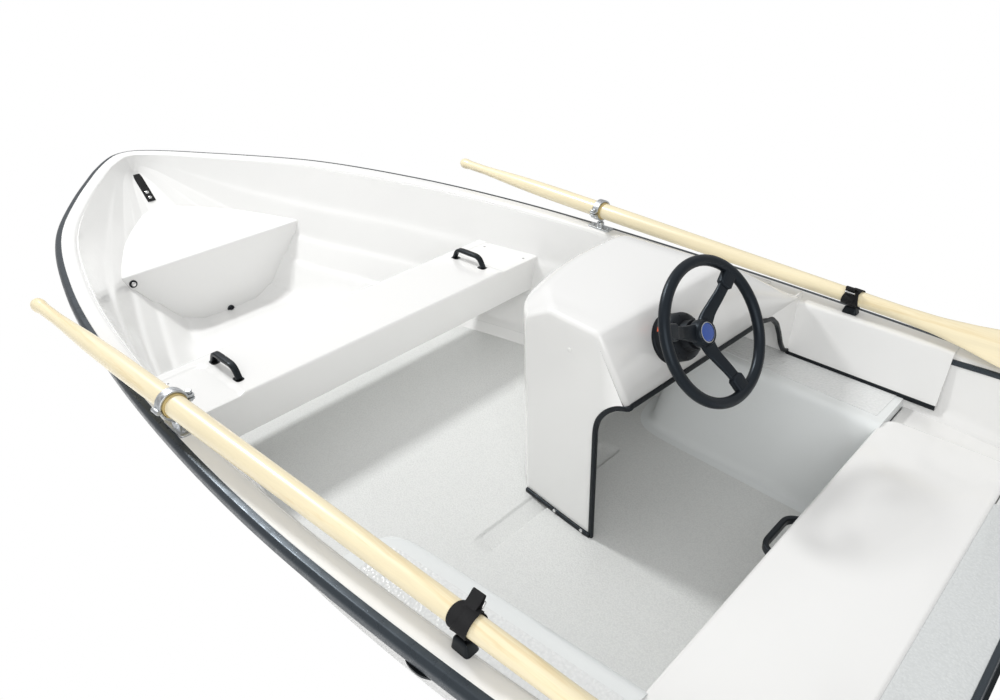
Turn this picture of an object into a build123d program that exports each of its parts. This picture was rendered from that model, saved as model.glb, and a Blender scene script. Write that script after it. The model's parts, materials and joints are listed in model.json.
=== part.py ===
from build123d import *
import math
import os

# A small moulded-plastic rowing boat with clinker-style planks and a steering console
# on the starboard side. Millimetres: X to starboard, Y to the bow, Z up from the ground.
# A distance "from the transom" runs forward from the top of the transom's aft face.

os.makedirs("parts", exist_ok=True)

# Overall sizes
rail_length = 3610          # transom to the rail's tip at the bow
oar_overhang = 178          # how far the stowed blades reach aft of the transom
transom_y = (oar_overhang - rail_length) / 2
skin = 10                   # moulded hull wall
fit = 0.4                   # gap between a fitted piece and the hull wall

# Hull sections: distance from the transom, half breadth at the sheer, keel height,
# and fullness, 1 for the flat midship section and 0 for the fine bow section
hull_stations = [
    (-60, 662, 26, 1.0),
    (540, 723, 17, 1.0),
    (1210, 753, 15, 1.0),
    (1900, 710, 18, 0.8),
    (2400, 628, 30, 0.45),
    (2859, 490, 72, 0.0),
    (3149, 332, 214, 0.0),
    (3327, 213, 361, 0.0),
    (3442, 127, 477, 0.0),
    (3534, 38, 566, 0.0),
]
# Sheer: distance from the transom, height of the gunwale's top
sheer_line = [(-60, 564), (540, 564), (1210, 569), (1900, 587), (2859, 607), (3327, 622), (3700, 645)]
# Plank edges: share of the half breadth and of the height in the full section,
# the same in the fine section, and the angle at which the land stands out
plank_edges = [
    (0.36, 0.04, 0.22, 0.03, -78),
    (0.66, 0.12, 0.41, 0.12, -62),
    (0.84, 0.27, 0.60, 0.32, -40),
    (0.915, 0.46, 0.74, 0.47, -18),
    (0.96, 0.70, 0.86, 0.70, -8),
]
land = 8                    # how far a plank stands out over the one below it
land_full_half = 200        # half breadth from which a land has its whole width
section_top = 720           # sections run up to here, then are cut to the sheer
stem_wall = 14              # thickness of the skin at the stem

# Cutting blocks reach this far past the boat: to the side, above the sheer, at either end
past_side = 900
past_sheer = 400
past_edge = 50
past_transom = 400

# Gunwale and rub rail
flange_width = 36
flange_thick = 10
rail_proud = 22
rail_height = 40
rail_below_top = 1
bow_point = 3552
rail_foot = 400             # the plan blocks start at this height, well below the rail

# Keel and bottom runners: distance from the transom and depth below the skin's underside
keel_half = 32
keel_aft = 90
keel_fore = 2400
runner_x = 372
runner_half = 22
runner_aft = 100
runner_fore = 1900
runner_runout = 300         # length over which its fore end rises into the skin
runner_root = 5             # how far a runner's root lies inside the skin
runner_tip_depth = 6

# Transom
transom_rake = 8            # degrees, its top leans aft
transom_thick = 42
transom_cut_height = 390
transom_cut_half = 400
transom_cut_top_half = 470
pad_width = 260
pad_height = 230
pad_thick = 12
pad_below_top = 8
pad_round = 24
transom_drain_height = 92
drain_radius = 17
drain_depth = 12

# Floor and side boxes
floor_height = 142
floor_thick = 16
groove_aft = 1056
groove_width = 26
groove_half = 285
groove_depth = 5
box_top = 410
box_wall = 6
box_round = 20
box_sunk = 30               # how far its inside runs on down, so that the foot is open
box_past_aft = 60           # how far its inside runs on aft, so that the end is open
# Side box: distance from the transom, x of its top's inner edge, x of its foot
box_sections = [(441, 496, 408), (1007, 536, 437), (1042, 550, 452), (1063, 590, 492)]

# Aft seat
aft_box_top = 382
aft_box_wall = 8
aft_box_fore = 432
aft_box_edge = 6
lid_thick = 22
lid_half = 562
lid_aft = 144
lid_fore = 440
lid_corner = 34
lid_edge = 6
strip_top = 399
strip_fore = 142

# Bow seat
bow_bulkhead = 2859
bow_seat_height = 383
bow_seat_slope = 4.4        # degrees, rising to the bow
bow_wall = 8
bow_seat_edge = 10
bow_knob_x = -350
bow_knob_height = 348
bow_drain_height = 104
knob_radius = 15

# Mid thwart
thwart_aft = 1738
thwart_fore = 2010
thwart_top = 435
thwart_deep = 126
thwart_wall = 10
thwart_solid_end = 640      # the ends outside this x are solid
thwart_edge = 9
thwart_bottom_half = 638
thwart_bevel = 60           # its ends' lower corners are cut this far
pad_start = 505             # the lower fixing pads begin at this x
pad_fore_rim = 38
pad_step = 4
pad_corner = 34
pad_cut = 400               # the cut for a pad runs past the hull and the thwart's aft edge

# Grab handles
handle_length = 170
handle_height = 44
handle_bar = 15
handle_width = 20
handle_foot = 30            # how far the outline's slope leans in over its height
handle_edge = 4
thwart_handle_x = 480
thwart_handle_centre = 1881
aft_handle_x = 42
aft_handle_height = 360

# Console: plan points are x and distance from the transom, clockwise from aft port
console_port_aft = (-64, 889)
console_port = [(-60, 700), console_port_aft]
console_front = [(-37, 1129), (22, 1188), (110, 1222), (204, 1241), (330, 1247), (540, 1236), (760, 1195)]
console_starboard = [(800, 700)]
console_top = 746
console_wall = 6
console_past_foot = 30      # how far the inside runs on below the foot, so that it is open
leg_space_aft = 600         # from here forward the inside is hollow
console_past = 1500         # the console's side and roof blocks reach this far
arch_distance = 798         # of the web beside the leg opening, along the dash's own axis
console_yaw = 3             # degrees, the dash faces a little to port
shoulder_width = 56
shoulder_drop = 50
# Front view of the console's top, x and height: flat, down to the gunwale, over it
console_slope = [(455, console_top), (582, 592), (750, 577)]
dash_tilt = 30              # degrees from the vertical
dash_low = 588
side_turn = [(889, 487), (882, 520), (861, 552), (831, 577)]
# Web beside the leg opening, across from the dash's port corner and height
arch_points = [(820, 413), (756, 413), (712, 455), (678, 505), (655, 550), (646, 600), (820, 600)]
# Side panel: distance from the transom, x of its low edge, of its fold, of its flange
panel_sections = [(357, 660, 688, 732), (860, 676, 702, 752)]
panel_low = 413
panel_wall = 5
gunwale_clear = 0.5

# Steering gear, placed on the dash: across from its port corner and down from its top
helm_across = 206
helm_down = 92
helm_flange_radius = 57
helm_flange_thick = 7
helm_radius = 52
helm_depth = 46
helm_nose_radius = 34
shaft_radius = 10
shaft_clearance = 0.5
shaft_in_helm = 40
wheel_offset = 131          # from the dash to the rim's plane
wheel_diameter = 345
wheel_grip = 26
wheel_dish = 34
hub_radius = 32
hub_depth = 26
hub_gap = 6
cap_radius = 22
cap_thick = 6
spoke_angles = (62, 180, 298)
spoke_width = 24
spoke_thick = 9
spoke_inner = 22

# Oars, oarlocks and rests; the oar's axis passes through the oarlock's centre
lock_from_transom = 1512
lock_x = 764
lock_height = 640
oar_toe_in = 3.0            # degrees, the blade end lies nearer the centreline
oar_dip = 1.3               # degrees, the blade end lies lower
# Oar's round part: distance forward of the oarlock along the oar, radius
oar_profile = [
    (726, 13), (718, 18), (704, 20), (690, 19), (680, 16.5), (590, 16.5), (560, 17), (400, 23.5), (250, 26),
    (-120, 26), (-600, 22.5), (-1040, 19.5), (-1300, 15), (-1600, 7),
]
# Blade: distance, half width, half thickness at its middle, half thickness at its edge
blade_sections = [(-1040, 17, 12, 4), (-1180, 38, 9, 3), (-1330, 64, 7, 2.5), (-1650, 64, 5, 2.5), (-1692, 46, 4, 2)]
blade_tilt = 34             # degrees, its inboard edge is the higher
collar_gap = 0.3
collar_wall = 2.4
collar_width = 34
gate_wall = 7
gate_width = 24
gate_lug = 15
gate_lug_height = 20
pin_radius = 6.5
pin_clearance = 0.4
base_width = 34
base_length = 88
base_plate = 5
boss_radius = 13
boss_height = 17
rest_from_transom = 632
strap_width = 44
strap_radius = 20.8
strap_wall = 3
strap_tab = 30
rest_x = 726
rest_width = 30
rest_length = 40
rest_height = 25
rest_lift = 6.5             # the starboard rest stands on the side panel's flange

# Bow fittings and side grips
strap_low = 3396
strap_high = 3498
bow_strap_half = 20
bow_strap_thick = 9
eye_height = 452
eye_lug_radius = 20
eye_lug_thick = 8
eye_lug_reach = 26          # from the stem to the hole's centre
eye_hole_radius = 11
eye_plate = 6
eye_plate_width = 26
eye_plate_length = 60
side_grip_aft = 640
side_grip_fore = 725
side_grip_proud = 16
side_grip_height = 20


def fore(distance):
    """Y of a point this far forward of the transom."""
    return transom_y + distance


def sheer_at(distance):
    """Height of the gunwale's top."""
    for (a, low), (b, high) in zip(sheer_line, sheer_line[1:]):
        if distance <= b:
            return low + (high - low) * (distance - a) / (b - a)
    return sheer_line[-1][1]


def station_outline(station, inset):
    """Starboard half of a hull section from the keel up, moved inward by inset."""
    distance, half, keel, fullness = station
    sheer = sheer_at(distance)
    land_here = land * min(1.0, half / land_full_half)
    points = [(0, keel + inset)]
    for wide_full, high_full, wide_fine, high_fine, angle in plank_edges:
        x = half * (wide_full * fullness + wide_fine * (1 - fullness))
        z = keel + (sheer - keel) * (high_full * fullness + high_fine * (1 - fullness))
        for reach in (-inset, land_here - inset):
            points.append((x + reach * math.cos(math.radians(angle)), z + reach * math.sin(math.radians(angle))))
    points.append((half - inset, sheer))
    points.append((half - inset, section_top))
    return points


def outline_at(distance, inset):
    """Starboard half section between two stations, as the ruled surface has it."""
    for one, two in zip(hull_stations, hull_stations[1:]):
        if distance <= two[0]:
            break
    share = (distance - one[0]) / (two[0] - one[0])
    pairs = zip(station_outline(one, inset), station_outline(two, inset))
    return [(a[0] + (b[0] - a[0]) * share, a[1] + (b[1] - a[1]) * share) for a, b in pairs]


def skin_height(distance, x):
    """Height of the skin's underside at this x."""
    outline = outline_at(distance, 0)
    for (xa, za), (xb, zb) in zip(outline, outline[1:]):
        if xa <= x <= xb:
            return za + (zb - za) * (x - xa) / (xb - xa)
    return outline[-1][1]


def hull_solid(inset, fore_end):
    """The whole hull as a closed solid, its surface moved inward by inset."""
    distances = [station[0] for station in hull_stations if station[0] < fore_end] + [fore_end]
    with BuildPart() as solid:
        for distance in distances:
            half = outline_at(distance, inset)
            ring = half + [(-x, z) for x, z in reversed(half[1:])]
            with BuildSketch(Plane((0, fore(distance), 0), x_dir=(1, 0, 0), z_dir=(0, -1, 0))):
                Polygon(*ring, align=None)
        loft(ruled=True)
    return solid.part


def side_prism(points, half_width=past_side):
    """A side view, as distance from the transom and height, extruded across the boat."""
    with BuildPart() as prism:
        with BuildSketch(Plane.YZ):
            Polygon(*[(fore(distance), height) for distance, height in points], align=None)
        extrude(amount=half_width, both=True)
    return prism.part


def sheer_prism(low, high):
    """The band between two heights that follow the sheer."""
    bottom = [(distance, height + low) for distance, height in sheer_line]
    top = [(distance, height + high) for distance, height in reversed(sheer_line)]
    return side_prism(bottom + top)


def plan_prism(reach, low, high):
    """The hull's plan at the sheer, moved outward by reach, between two heights."""
    side = [(half, fore(distance)) for distance, half, keel, fullness in hull_stations]
    tip = side[-1]
    with BuildPart() as prism:
        with BuildSketch(Plane.XY.offset(low)):
            with BuildLine():
                Polyline(*side)
                ThreePointArc(tip, (0, fore(bow_point)), (-tip[0], tip[1]))
                Polyline(*[(-x, y) for x, y in reversed(side)])
                Line((-side[0][0], side[0][1]), side[0])
            make_face()
            if reach != 0:
                offset(amount=reach, kind=Kind.INTERSECTION, mode=Mode.REPLACE)
        extrude(amount=high - low)
    return prism.part


def save(piece, name):
    piece.label = name
    export_step(piece, f"parts/{name}.step")


# The transom's faces lean by the rake; both are straight lines in the side view
rake_share = math.tan(math.radians(transom_rake))
transom_depth = transom_thick / math.cos(math.radians(transom_rake))
deck_height = sheer_at(0)


def transom_line(height, inside):
    """Distance from the transom's top to its aft face, or to a face inside it."""
    return (deck_height - height) * rake_share + inside


def transom_prism(aft, ahead):
    return side_prism([
        (transom_line(-past_edge, aft), -past_edge),
        (transom_line(-past_edge, ahead), -past_edge),
        (transom_line(section_top + past_edge, ahead), section_top + past_edge),
        (transom_line(section_top + past_edge, aft), section_top + past_edge),
    ])


behind_transom = transom_prism(-past_transom, 0)
outer_hull = hull_solid(0, hull_stations[-1][0])
inner_hull = hull_solid(skin, hull_stations[-1][0] - stem_wall)
fitted_hull = hull_solid(skin + fit, hull_stations[-1][0] - stem_wall - fit)
above_flange = sheer_prism(-flange_thick, past_sheer)

# Hull skin with its keel and two bottom runners
keel_distances = [keel_aft] + [s[0] for s in hull_stations if keel_aft < s[0] < keel_fore]
runner_level = [runner_aft] + [s[0] for s in hull_stations if runner_aft < s[0] < runner_fore - runner_runout]
runner_distances = runner_level + [runner_fore - runner_runout, runner_fore]

with BuildPart() as hull_shell:
    add(outer_hull)
    add(inner_hull, mode=Mode.SUBTRACT)
    add(above_flange, mode=Mode.SUBTRACT)
    add(behind_transom, mode=Mode.SUBTRACT)
    top = [(d, skin_height(d, 0) + runner_root) for d in keel_distances + [keel_fore]]
    with BuildSketch(Plane.YZ):
        low = [(keel_fore, top[-1][1] - runner_tip_depth), (keel_distances[-1], 0), (keel_aft, 0)]
        Polygon(*[(fore(d), z) for d, z in top + low], align=None)
    extrude(amount=keel_half, both=True)
    for side in (1, -1):
        for distance in runner_distances:
            inner_top = skin_height(distance, runner_x - runner_half) + runner_root
            outer_top = skin_height(distance, runner_x + runner_half) + runner_root
            foot = 0 if distance < runner_fore else inner_top - runner_tip_depth
            with BuildSketch(Plane((0, fore(distance), 0), x_dir=(side, 0, 0), z_dir=(0, -side, 0))):
                Polygon(
                    (runner_x - runner_half, foot),
                    (runner_x + runner_half, foot),
                    (runner_x + runner_half, outer_top),
                    (runner_x - runner_half, inner_top),
                    align=None,
                )
        loft(ruled=True)
save(hull_shell.part, "hull_shell")

# Gunwale flange, turned outward from the skin's top edge
with BuildPart() as gunwale:
    add(plan_prism(flange_width, rail_foot, section_top))
    add(plan_prism(-skin, rail_foot, section_top), mode=Mode.SUBTRACT)
    add(sheer_prism(-flange_thick, 0), mode=Mode.INTERSECT)
    add(behind_transom, mode=Mode.SUBTRACT)
save(gunwale.part, "gunwale")

# Rub rail round the gunwale's edge
with BuildPart() as rub_rail:
    add(plan_prism(flange_width + rail_proud, rail_foot, section_top))
    add(plan_prism(flange_width, rail_foot, section_top), mode=Mode.SUBTRACT)
    add(sheer_prism(-rail_below_top - rail_height, -rail_below_top), mode=Mode.INTERSECT)
    add(behind_transom, mode=Mode.SUBTRACT)
save(rub_rail.part, "rub_rail")

# Transom with its motor cut-out, pads and drain plug
with BuildPart() as transom:
    add(transom_prism(0, transom_depth))
    add(fitted_hull, mode=Mode.INTERSECT)
    add(sheer_prism(0, past_sheer), mode=Mode.SUBTRACT)
    with BuildSketch(Plane((0, fore(-past_transom), 0), x_dir=(1, 0, 0), z_dir=(0, -1, 0))):
        Polygon(
            (-transom_cut_half, transom_cut_height),
            (transom_cut_half, transom_cut_height),
            (transom_cut_top_half, section_top),
            (-transom_cut_top_half, section_top),
            align=None,
        )
    extrude(amount=-2 * past_transom, mode=Mode.SUBTRACT)
save(transom.part, "transom")

transom_face = Plane(
    (0, fore(transom_line(transom_cut_height, 0)), transom_cut_height),
    x_dir=(1, 0, 0),
    z_dir=(0, -math.cos(math.radians(transom_rake)), -math.sin(math.radians(transom_rake))),
)

with BuildPart() as outer_pad:
    with BuildSketch(transom_face):
        with Locations((0, -pad_below_top - pad_height / 2)):
            RectangleRounded(pad_width, pad_height, pad_round)
    extrude(amount=pad_thick)
save(outer_pad.part, "transom_pad")

drain_y = fore(transom_line(transom_drain_height, 0))
drain_plane = Plane((0, drain_y, transom_drain_height), x_dir=(1, 0, 0), z_dir=transom_face.z_dir)
with BuildPart(drain_plane) as transom_drain:
    Cylinder(drain_radius, drain_depth, align=(Align.CENTER, Align.CENTER, Align.MIN))
save(transom_drain.part, "transom_drain_plug")

# Cockpit floor
with BuildPart() as floor:
    with BuildSketch(Plane.YZ):
        Polygon(
            (fore(aft_box_fore), floor_height - floor_thick),
            (fore(bow_bulkhead), floor_height - floor_thick),
            (fore(bow_bulkhead), floor_height),
            (fore(groove_aft + groove_width), floor_height),
            (fore(groove_aft + groove_width), floor_height - groove_depth),
            (fore(groove_aft), floor_height - groove_depth),
            (fore(groove_aft), floor_height),
            (fore(aft_box_fore), floor_height),
            align=None,
        )
    extrude(amount=past_side, both=True)
    for side in (1, -1):
        with BuildSketch(Plane.XY.offset(floor_height - groove_depth)):
            Polygon(
                (side * groove_half, fore(groove_aft)),
                (side * past_side, fore(groove_aft)),
                (side * past_side, fore(groove_aft + groove_width)),
                (side * groove_half, fore(groove_aft + groove_width)),
                align=None,
            )
        extrude(amount=groove_depth)
    add(fitted_hull, mode=Mode.INTERSECT)
save(floor.part, "cockpit_floor")


def box_solid(wall):
    """The starboard side box as a block, or the space inside its wall."""
    with BuildPart() as block:
        for distance, inner, foot in box_sections:
            last = distance == box_sections[-1][0]
            first = distance == box_sections[0][0]
            place = distance - wall if last else (distance - box_past_aft if first and wall else distance)
            top = box_top - wall
            base = floor_height - box_sunk if wall else floor_height
            with BuildSketch(Plane((0, fore(place), 0), x_dir=(1, 0, 0), z_dir=(0, -1, 0))):
                Polygon(
                    (foot + wall, base),
                    (inner + wall - 0.35 * box_round, top - box_round),
                    (inner + wall + 0.3 * box_round, top - 0.3 * box_round),
                    (inner + wall + box_round, top),
                    (past_side, top),
                    (past_side, base),
                    align=None,
                )
        loft(ruled=True)
    return block.part


with BuildPart() as side_box:
    add(box_solid(0))
    add(box_solid(box_wall), mode=Mode.SUBTRACT)
    add(fitted_hull, mode=Mode.INTERSECT)
save(side_box.part, "side_box_starboard")
save(mirror(side_box.part, about=Plane.YZ), "side_box_port")

# Aft seat: box, lid and the deck strip behind the lid
inside_face = transom_depth + fit
with BuildPart() as aft_box:
    add(side_prism([
        (transom_line(aft_box_top - aft_box_wall, inside_face), aft_box_top - aft_box_wall),
        (aft_box_fore - aft_box_wall, aft_box_top - aft_box_wall),
        (aft_box_fore - aft_box_wall, 0),
        (aft_box_fore, 0),
        (aft_box_fore, aft_box_top - aft_box_edge),
        (aft_box_fore - aft_box_edge, aft_box_top),
        (transom_line(aft_box_top, inside_face), aft_box_top),
    ]))
    add(fitted_hull, mode=Mode.INTERSECT)
save(aft_box.part, "aft_seat_box")

with BuildPart() as lid:
    with BuildSketch(Plane.XY.offset(aft_box_top)):
        with Locations((0, fore((lid_aft + lid_fore) / 2))):
            RectangleRounded(2 * lid_half, lid_fore - lid_aft, lid_corner)
    extrude(amount=lid_thick)
    fillet(lid.faces().sort_by(Axis.Z)[-1].edges(), lid_edge)
save(lid.part, "aft_seat_lid")

with BuildPart() as strip:
    add(side_prism([
        (transom_line(aft_box_top, inside_face), aft_box_top),
        (strip_fore, aft_box_top),
        (strip_fore, strip_top),
        (transom_line(strip_top, inside_face), strip_top),
    ]))
    add(fitted_hull, mode=Mode.INTERSECT)
save(strip.part, "aft_deck_strip")

# Bow seat, its top rising forward from the bulkhead
seat_rise = math.tan(math.radians(bow_seat_slope))
with BuildPart() as bow_seat:
    add(side_prism([
        (bow_bulkhead, 0),
        (bow_bulkhead + bow_wall, 0),
        (bow_bulkhead + bow_wall, bow_seat_height - bow_wall),
        (rail_length, bow_seat_height - bow_wall + (rail_length - bow_bulkhead - bow_wall) * seat_rise),
        (rail_length, bow_seat_height + (rail_length - bow_bulkhead) * seat_rise),
        (bow_bulkhead + bow_seat_edge, bow_seat_height + bow_seat_edge * seat_rise),
        (bow_bulkhead, bow_seat_height - bow_seat_edge),
    ]))
    add(fitted_hull, mode=Mode.INTERSECT)
save(bow_seat.part, "bow_seat")

for name, x, height in (("bulkhead_knob", bow_knob_x, bow_knob_height), ("bow_drain_plug", 0, bow_drain_height)):
    with BuildPart(Plane((x, fore(bow_bulkhead), height), x_dir=(1, 0, 0), z_dir=(0, -1, 0))) as knob:
        Cylinder(knob_radius, drain_depth, align=(Align.CENTER, Align.CENTER, Align.MIN))
    save(knob.part, name)

# Mid thwart, hollow from below, with a lower pad at each end of its top
with BuildPart() as thwart:
    add(side_prism([
        (thwart_aft, thwart_top - thwart_deep),
        (thwart_fore, thwart_top - thwart_deep),
        (thwart_fore, thwart_top - thwart_edge),
        (thwart_fore - thwart_edge, thwart_top),
        (thwart_aft + thwart_edge, thwart_top),
        (thwart_aft, thwart_top - thwart_edge),
    ]))
    with BuildSketch(Plane.XY.offset(thwart_top - thwart_deep)):
        with Locations((0, fore((thwart_aft + thwart_fore) / 2))):
            Rectangle(2 * thwart_solid_end, thwart_fore - thwart_aft - 2 * thwart_wall)
    extrude(amount=thwart_deep - thwart_wall, mode=Mode.SUBTRACT)
    for side in (1, -1):
        with BuildSketch(Plane.XY.offset(thwart_top - pad_step)):
            with Locations((side * (pad_start + pad_cut / 2), fore(thwart_fore - pad_fore_rim - pad_cut / 2))):
                RectangleRounded(pad_cut, pad_cut, pad_corner)
        extrude(amount=pad_step, mode=Mode.SUBTRACT)
        with BuildSketch(Plane((0, fore(thwart_fore), thwart_top - thwart_deep), x_dir=(1, 0, 0), z_dir=(0, -1, 0))):
            Polygon(
                (side * thwart_bottom_half, 0),
                (side * (thwart_bottom_half + thwart_bevel), thwart_bevel),
                (side * (thwart_bottom_half + thwart_bevel), 0),
                align=None,
            )
        extrude(amount=thwart_fore - thwart_aft, mode=Mode.SUBTRACT)
    add(fitted_hull, mode=Mode.INTERSECT)
save(thwart.part, "mid_thwart")


def grab_handle(plane):
    """A handle standing on a plane, its length along the plane's x."""
    half = handle_length / 2
    with BuildPart() as handle:
        side_view = Plane(plane.origin, x_dir=plane.x_dir, z_dir=plane.x_dir.cross(plane.z_dir))
        with BuildSketch(side_view):
            with BuildLine():
                outer = Polyline(
                    (-half, 0), (-half + handle_foot, handle_height), (half - handle_foot, handle_height), (half, 0)
                )
                inner = Polyline(
                    (half - 1.6 * handle_bar, 0),
                    (half - handle_foot - handle_bar / 2, handle_height - handle_bar),
                    (-half + handle_foot + handle_bar / 2, handle_height - handle_bar),
                    (-half + 1.6 * handle_bar, 0),
                )
                Line(outer @ 1, inner @ 0)
                Line(inner @ 1, outer @ 0)
            make_face()
        extrude(amount=handle_width / 2, both=True)
    return handle.part


for name, side in (("thwart_handle_starboard", 1), ("thwart_handle_port", -1)):
    centre = (side * thwart_handle_x, fore(thwart_handle_centre), thwart_top)
    save(grab_handle(Plane(centre, x_dir=(0, 1, 0), z_dir=(0, 0, 1))), name)
centre = (aft_handle_x, fore(aft_box_fore), aft_handle_height)
save(grab_handle(Plane(centre, x_dir=(1, 0, 0), z_dir=(0, 1, 0))), "aft_seat_handle")

# Console. The dash's own axes: across it, ahead of it, down it and out of it
yaw_sin, yaw_cos = math.sin(math.radians(console_yaw)), math.cos(math.radians(console_yaw))
tilt_sin, tilt_cos = math.sin(math.radians(dash_tilt)), math.cos(math.radians(dash_tilt))
dash_across = Vector(yaw_cos, -yaw_sin, 0)
dash_ahead = Vector(yaw_sin, yaw_cos, 0)
dash_down = Vector(-yaw_sin * tilt_sin, -yaw_cos * tilt_sin, -tilt_cos)
dash_out = Vector(-yaw_sin * tilt_cos, -yaw_cos * tilt_cos, tilt_sin)
dash_foot = Vector(console_port_aft[0], fore(0), 0)
dash_corner = dash_foot + Vector(0, console_port_aft[1] / yaw_cos, console_top)


def inset_outline(points, amounts):
    """Corners of a clockwise outline, each side moved inward by its own amount."""
    sides = []
    for (xa, ya), (xb, yb), amount in zip(points, points[1:] + points[:1], amounts):
        length = math.hypot(xb - xa, yb - ya)
        nx, ny = (yb - ya) / length, (xa - xb) / length
        sides.append((nx, ny, nx * xa + ny * ya + amount))
    corners = []
    for (nx, ny, n), (mx, my, m) in zip(sides[-1:] + sides, sides):
        cross = nx * my - mx * ny
        corners.append(((n * my - m * ny) / cross, (nx * m - mx * n) / cross))
    return corners


def console_block(wall):
    """The console's plan with its sloping shoulder as a block, or the space inside its wall."""
    plan = console_port + console_front + console_starboard
    port_sides = [wall] * len(console_port)
    front_count = len(console_front) - 1
    open_sides = [-past_edge if wall else 0] * 2
    console_foot = floor_height - console_past_foot if wall else floor_height
    grade = shoulder_width / shoulder_drop
    level_inset = wall * math.hypot(1, grade)
    break_height = console_top - shoulder_drop - (level_inset - wall) / grade
    top_inset = (shoulder_drop - wall) * grade + level_inset
    low = inset_outline(plan, port_sides + [wall] * front_count + open_sides)
    high = inset_outline(plan, port_sides + [top_inset] * front_count + open_sides)
    with BuildPart() as block:
        with BuildSketch(Plane.XY.offset(console_foot)):
            Polygon(*[(x, fore(s)) for x, s in low], align=None)
        extrude(amount=break_height - console_foot)
        for height, outline in ((break_height, low), (console_top - wall, high)):
            with BuildSketch(Plane.XY.offset(height)):
                Polygon(*[(x, fore(s)) for x, s in outline], align=None)
        loft(ruled=True)
    return block.part


def console_side(wall):
    """Side view of the console along the dash: all of it, or the space behind the dash panel."""
    if wall:
        low_aft = [(leg_space_aft, 0), (leg_space_aft, dash_low - wall * tilt_sin)]
        shift = wall * tilt_cos
        foot = dash_low - wall * tilt_sin
    else:
        low_aft = [(side_turn[0][0], 0)] + side_turn
        shift = 0
        foot = dash_low
    dash_foot_ahead = console_port_aft[1] - (console_top - dash_low) * tilt_sin / tilt_cos + shift
    high = section_top + past_sheer
    points = low_aft + [
        (dash_foot_ahead, foot),
        (dash_foot_ahead + (high - foot) * tilt_sin / tilt_cos, high),
        (console_past, high),
        (console_past, 0),
    ]
    with BuildPart() as prism:
        with BuildSketch(Plane(dash_foot, x_dir=dash_ahead, z_dir=dash_across)):
            Polygon(*points, align=None)
        extrude(amount=console_past, both=True)
    return prism.part


def console_roof(wall):
    """Front view of the console's top and its slope down to the gunwale."""
    (x1, z1), (x2, z2), (x3, z3) = console_slope
    high = section_top + past_sheer
    steep_top = x1 - (high - z1) * (x2 - x1) / (z1 - z2)
    points = [(-past_side, 0), (-past_side, high), (steep_top, high), (x2, z2), (x3, z3), (x3, 0)]
    with BuildPart() as prism:
        with BuildSketch(Plane((0, fore(0), 0), x_dir=(1, 0, 0), z_dir=(0, -1, 0))):
            Polygon(*inset_outline(points, [0, 0, wall, wall, wall, 0]), align=None)
        extrude(amount=-console_past)
    return prism.part


with BuildPart() as console_space:
    add(fitted_hull)
    add(sheer_prism(gunwale_clear, past_sheer))

with BuildPart() as console_inside:
    add(console_block(console_wall))
    add(console_side(console_wall), mode=Mode.INTERSECT)
    add(console_roof(console_wall), mode=Mode.INTERSECT)

with BuildPart() as console:
    add(console_block(0))
    add(console_side(0), mode=Mode.INTERSECT)
    add(console_roof(0), mode=Mode.INTERSECT)
    add(console_inside.part, mode=Mode.SUBTRACT)
    with BuildSketch(Plane(dash_foot + dash_ahead * arch_distance, x_dir=dash_across, z_dir=dash_ahead * -1)):
        Polygon(*arch_points, align=None)
    extrude(amount=-console_wall)
    for distance, low_x, fold_x, flange_x in panel_sections:
        top = sheer_at(distance) + gunwale_clear
        with BuildSketch(Plane((0, fore(distance), 0), x_dir=(1, 0, 0), z_dir=(0, -1, 0))):
            Polygon(
                (low_x, panel_low),
                (low_x + panel_wall, panel_low),
                (fold_x + panel_wall, top),
                (flange_x, top),
                (flange_x, top + panel_wall),
                (fold_x, top + panel_wall),
                align=None,
            )
    loft(ruled=True)
    add(console_roof(0), mode=Mode.INTERSECT)
    add(console_space.part, mode=Mode.INTERSECT)
save(console.part, "steering_console")

# Helm, wheel and hub cap, on one axis square to the dash
wheel_foot = dash_corner + dash_across * helm_across + dash_down * helm_down
helm_plane = Plane(wheel_foot, x_dir=dash_across, z_dir=dash_out)
hub_back = wheel_offset - wheel_dish - hub_depth / 2
helm_front = hub_back - hub_gap
upward = (Align.CENTER, Align.CENTER, Align.MIN)
with BuildPart(helm_plane) as helm:
    Cylinder(helm_flange_radius, helm_flange_thick, align=upward)
    Cylinder(helm_radius, helm_flange_thick + helm_depth, align=upward)
    Cylinder(helm_nose_radius, helm_front, align=upward)
    with Locations((0, 0, helm_front)):
        Cylinder(
            shaft_radius + shaft_clearance,
            shaft_in_helm + pin_clearance,
            align=(Align.CENTER, Align.CENTER, Align.MAX),
            mode=Mode.SUBTRACT,
        )
save(helm.part, "helm_housing")

wheel_plane = Plane(wheel_foot + dash_out * wheel_offset, x_dir=dash_across, z_dir=dash_out)
rim_radius = (wheel_diameter - wheel_grip) / 2
with BuildPart(wheel_plane) as wheel:
    Torus(rim_radius, wheel_grip / 2)
    with Locations((0, 0, -wheel_dish)):
        Cylinder(hub_radius, hub_depth)
    with Locations((0, 0, helm_front - shaft_in_helm - wheel_offset)):
        Cylinder(shaft_radius, shaft_in_helm + hub_gap + hub_depth / 2, align=upward)
    for angle in spoke_angles:
        outward = dash_across * math.cos(math.radians(angle)) - dash_down * math.sin(math.radians(angle))
        with BuildSketch(Plane(wheel_plane.origin, x_dir=outward, z_dir=outward.cross(dash_out))):
            Polygon(
                (spoke_inner, -wheel_dish - spoke_thick / 2),
                (hub_radius + 12, -wheel_dish - spoke_thick / 2),
                (rim_radius, -spoke_thick / 2),
                (rim_radius, spoke_thick / 2),
                (hub_radius + 8, -wheel_dish + spoke_thick / 2),
                (spoke_inner, -wheel_dish + spoke_thick / 2),
                align=None,
            )
        extrude(amount=spoke_width / 2, both=True)
save(wheel.part, "steering_wheel")

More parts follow.
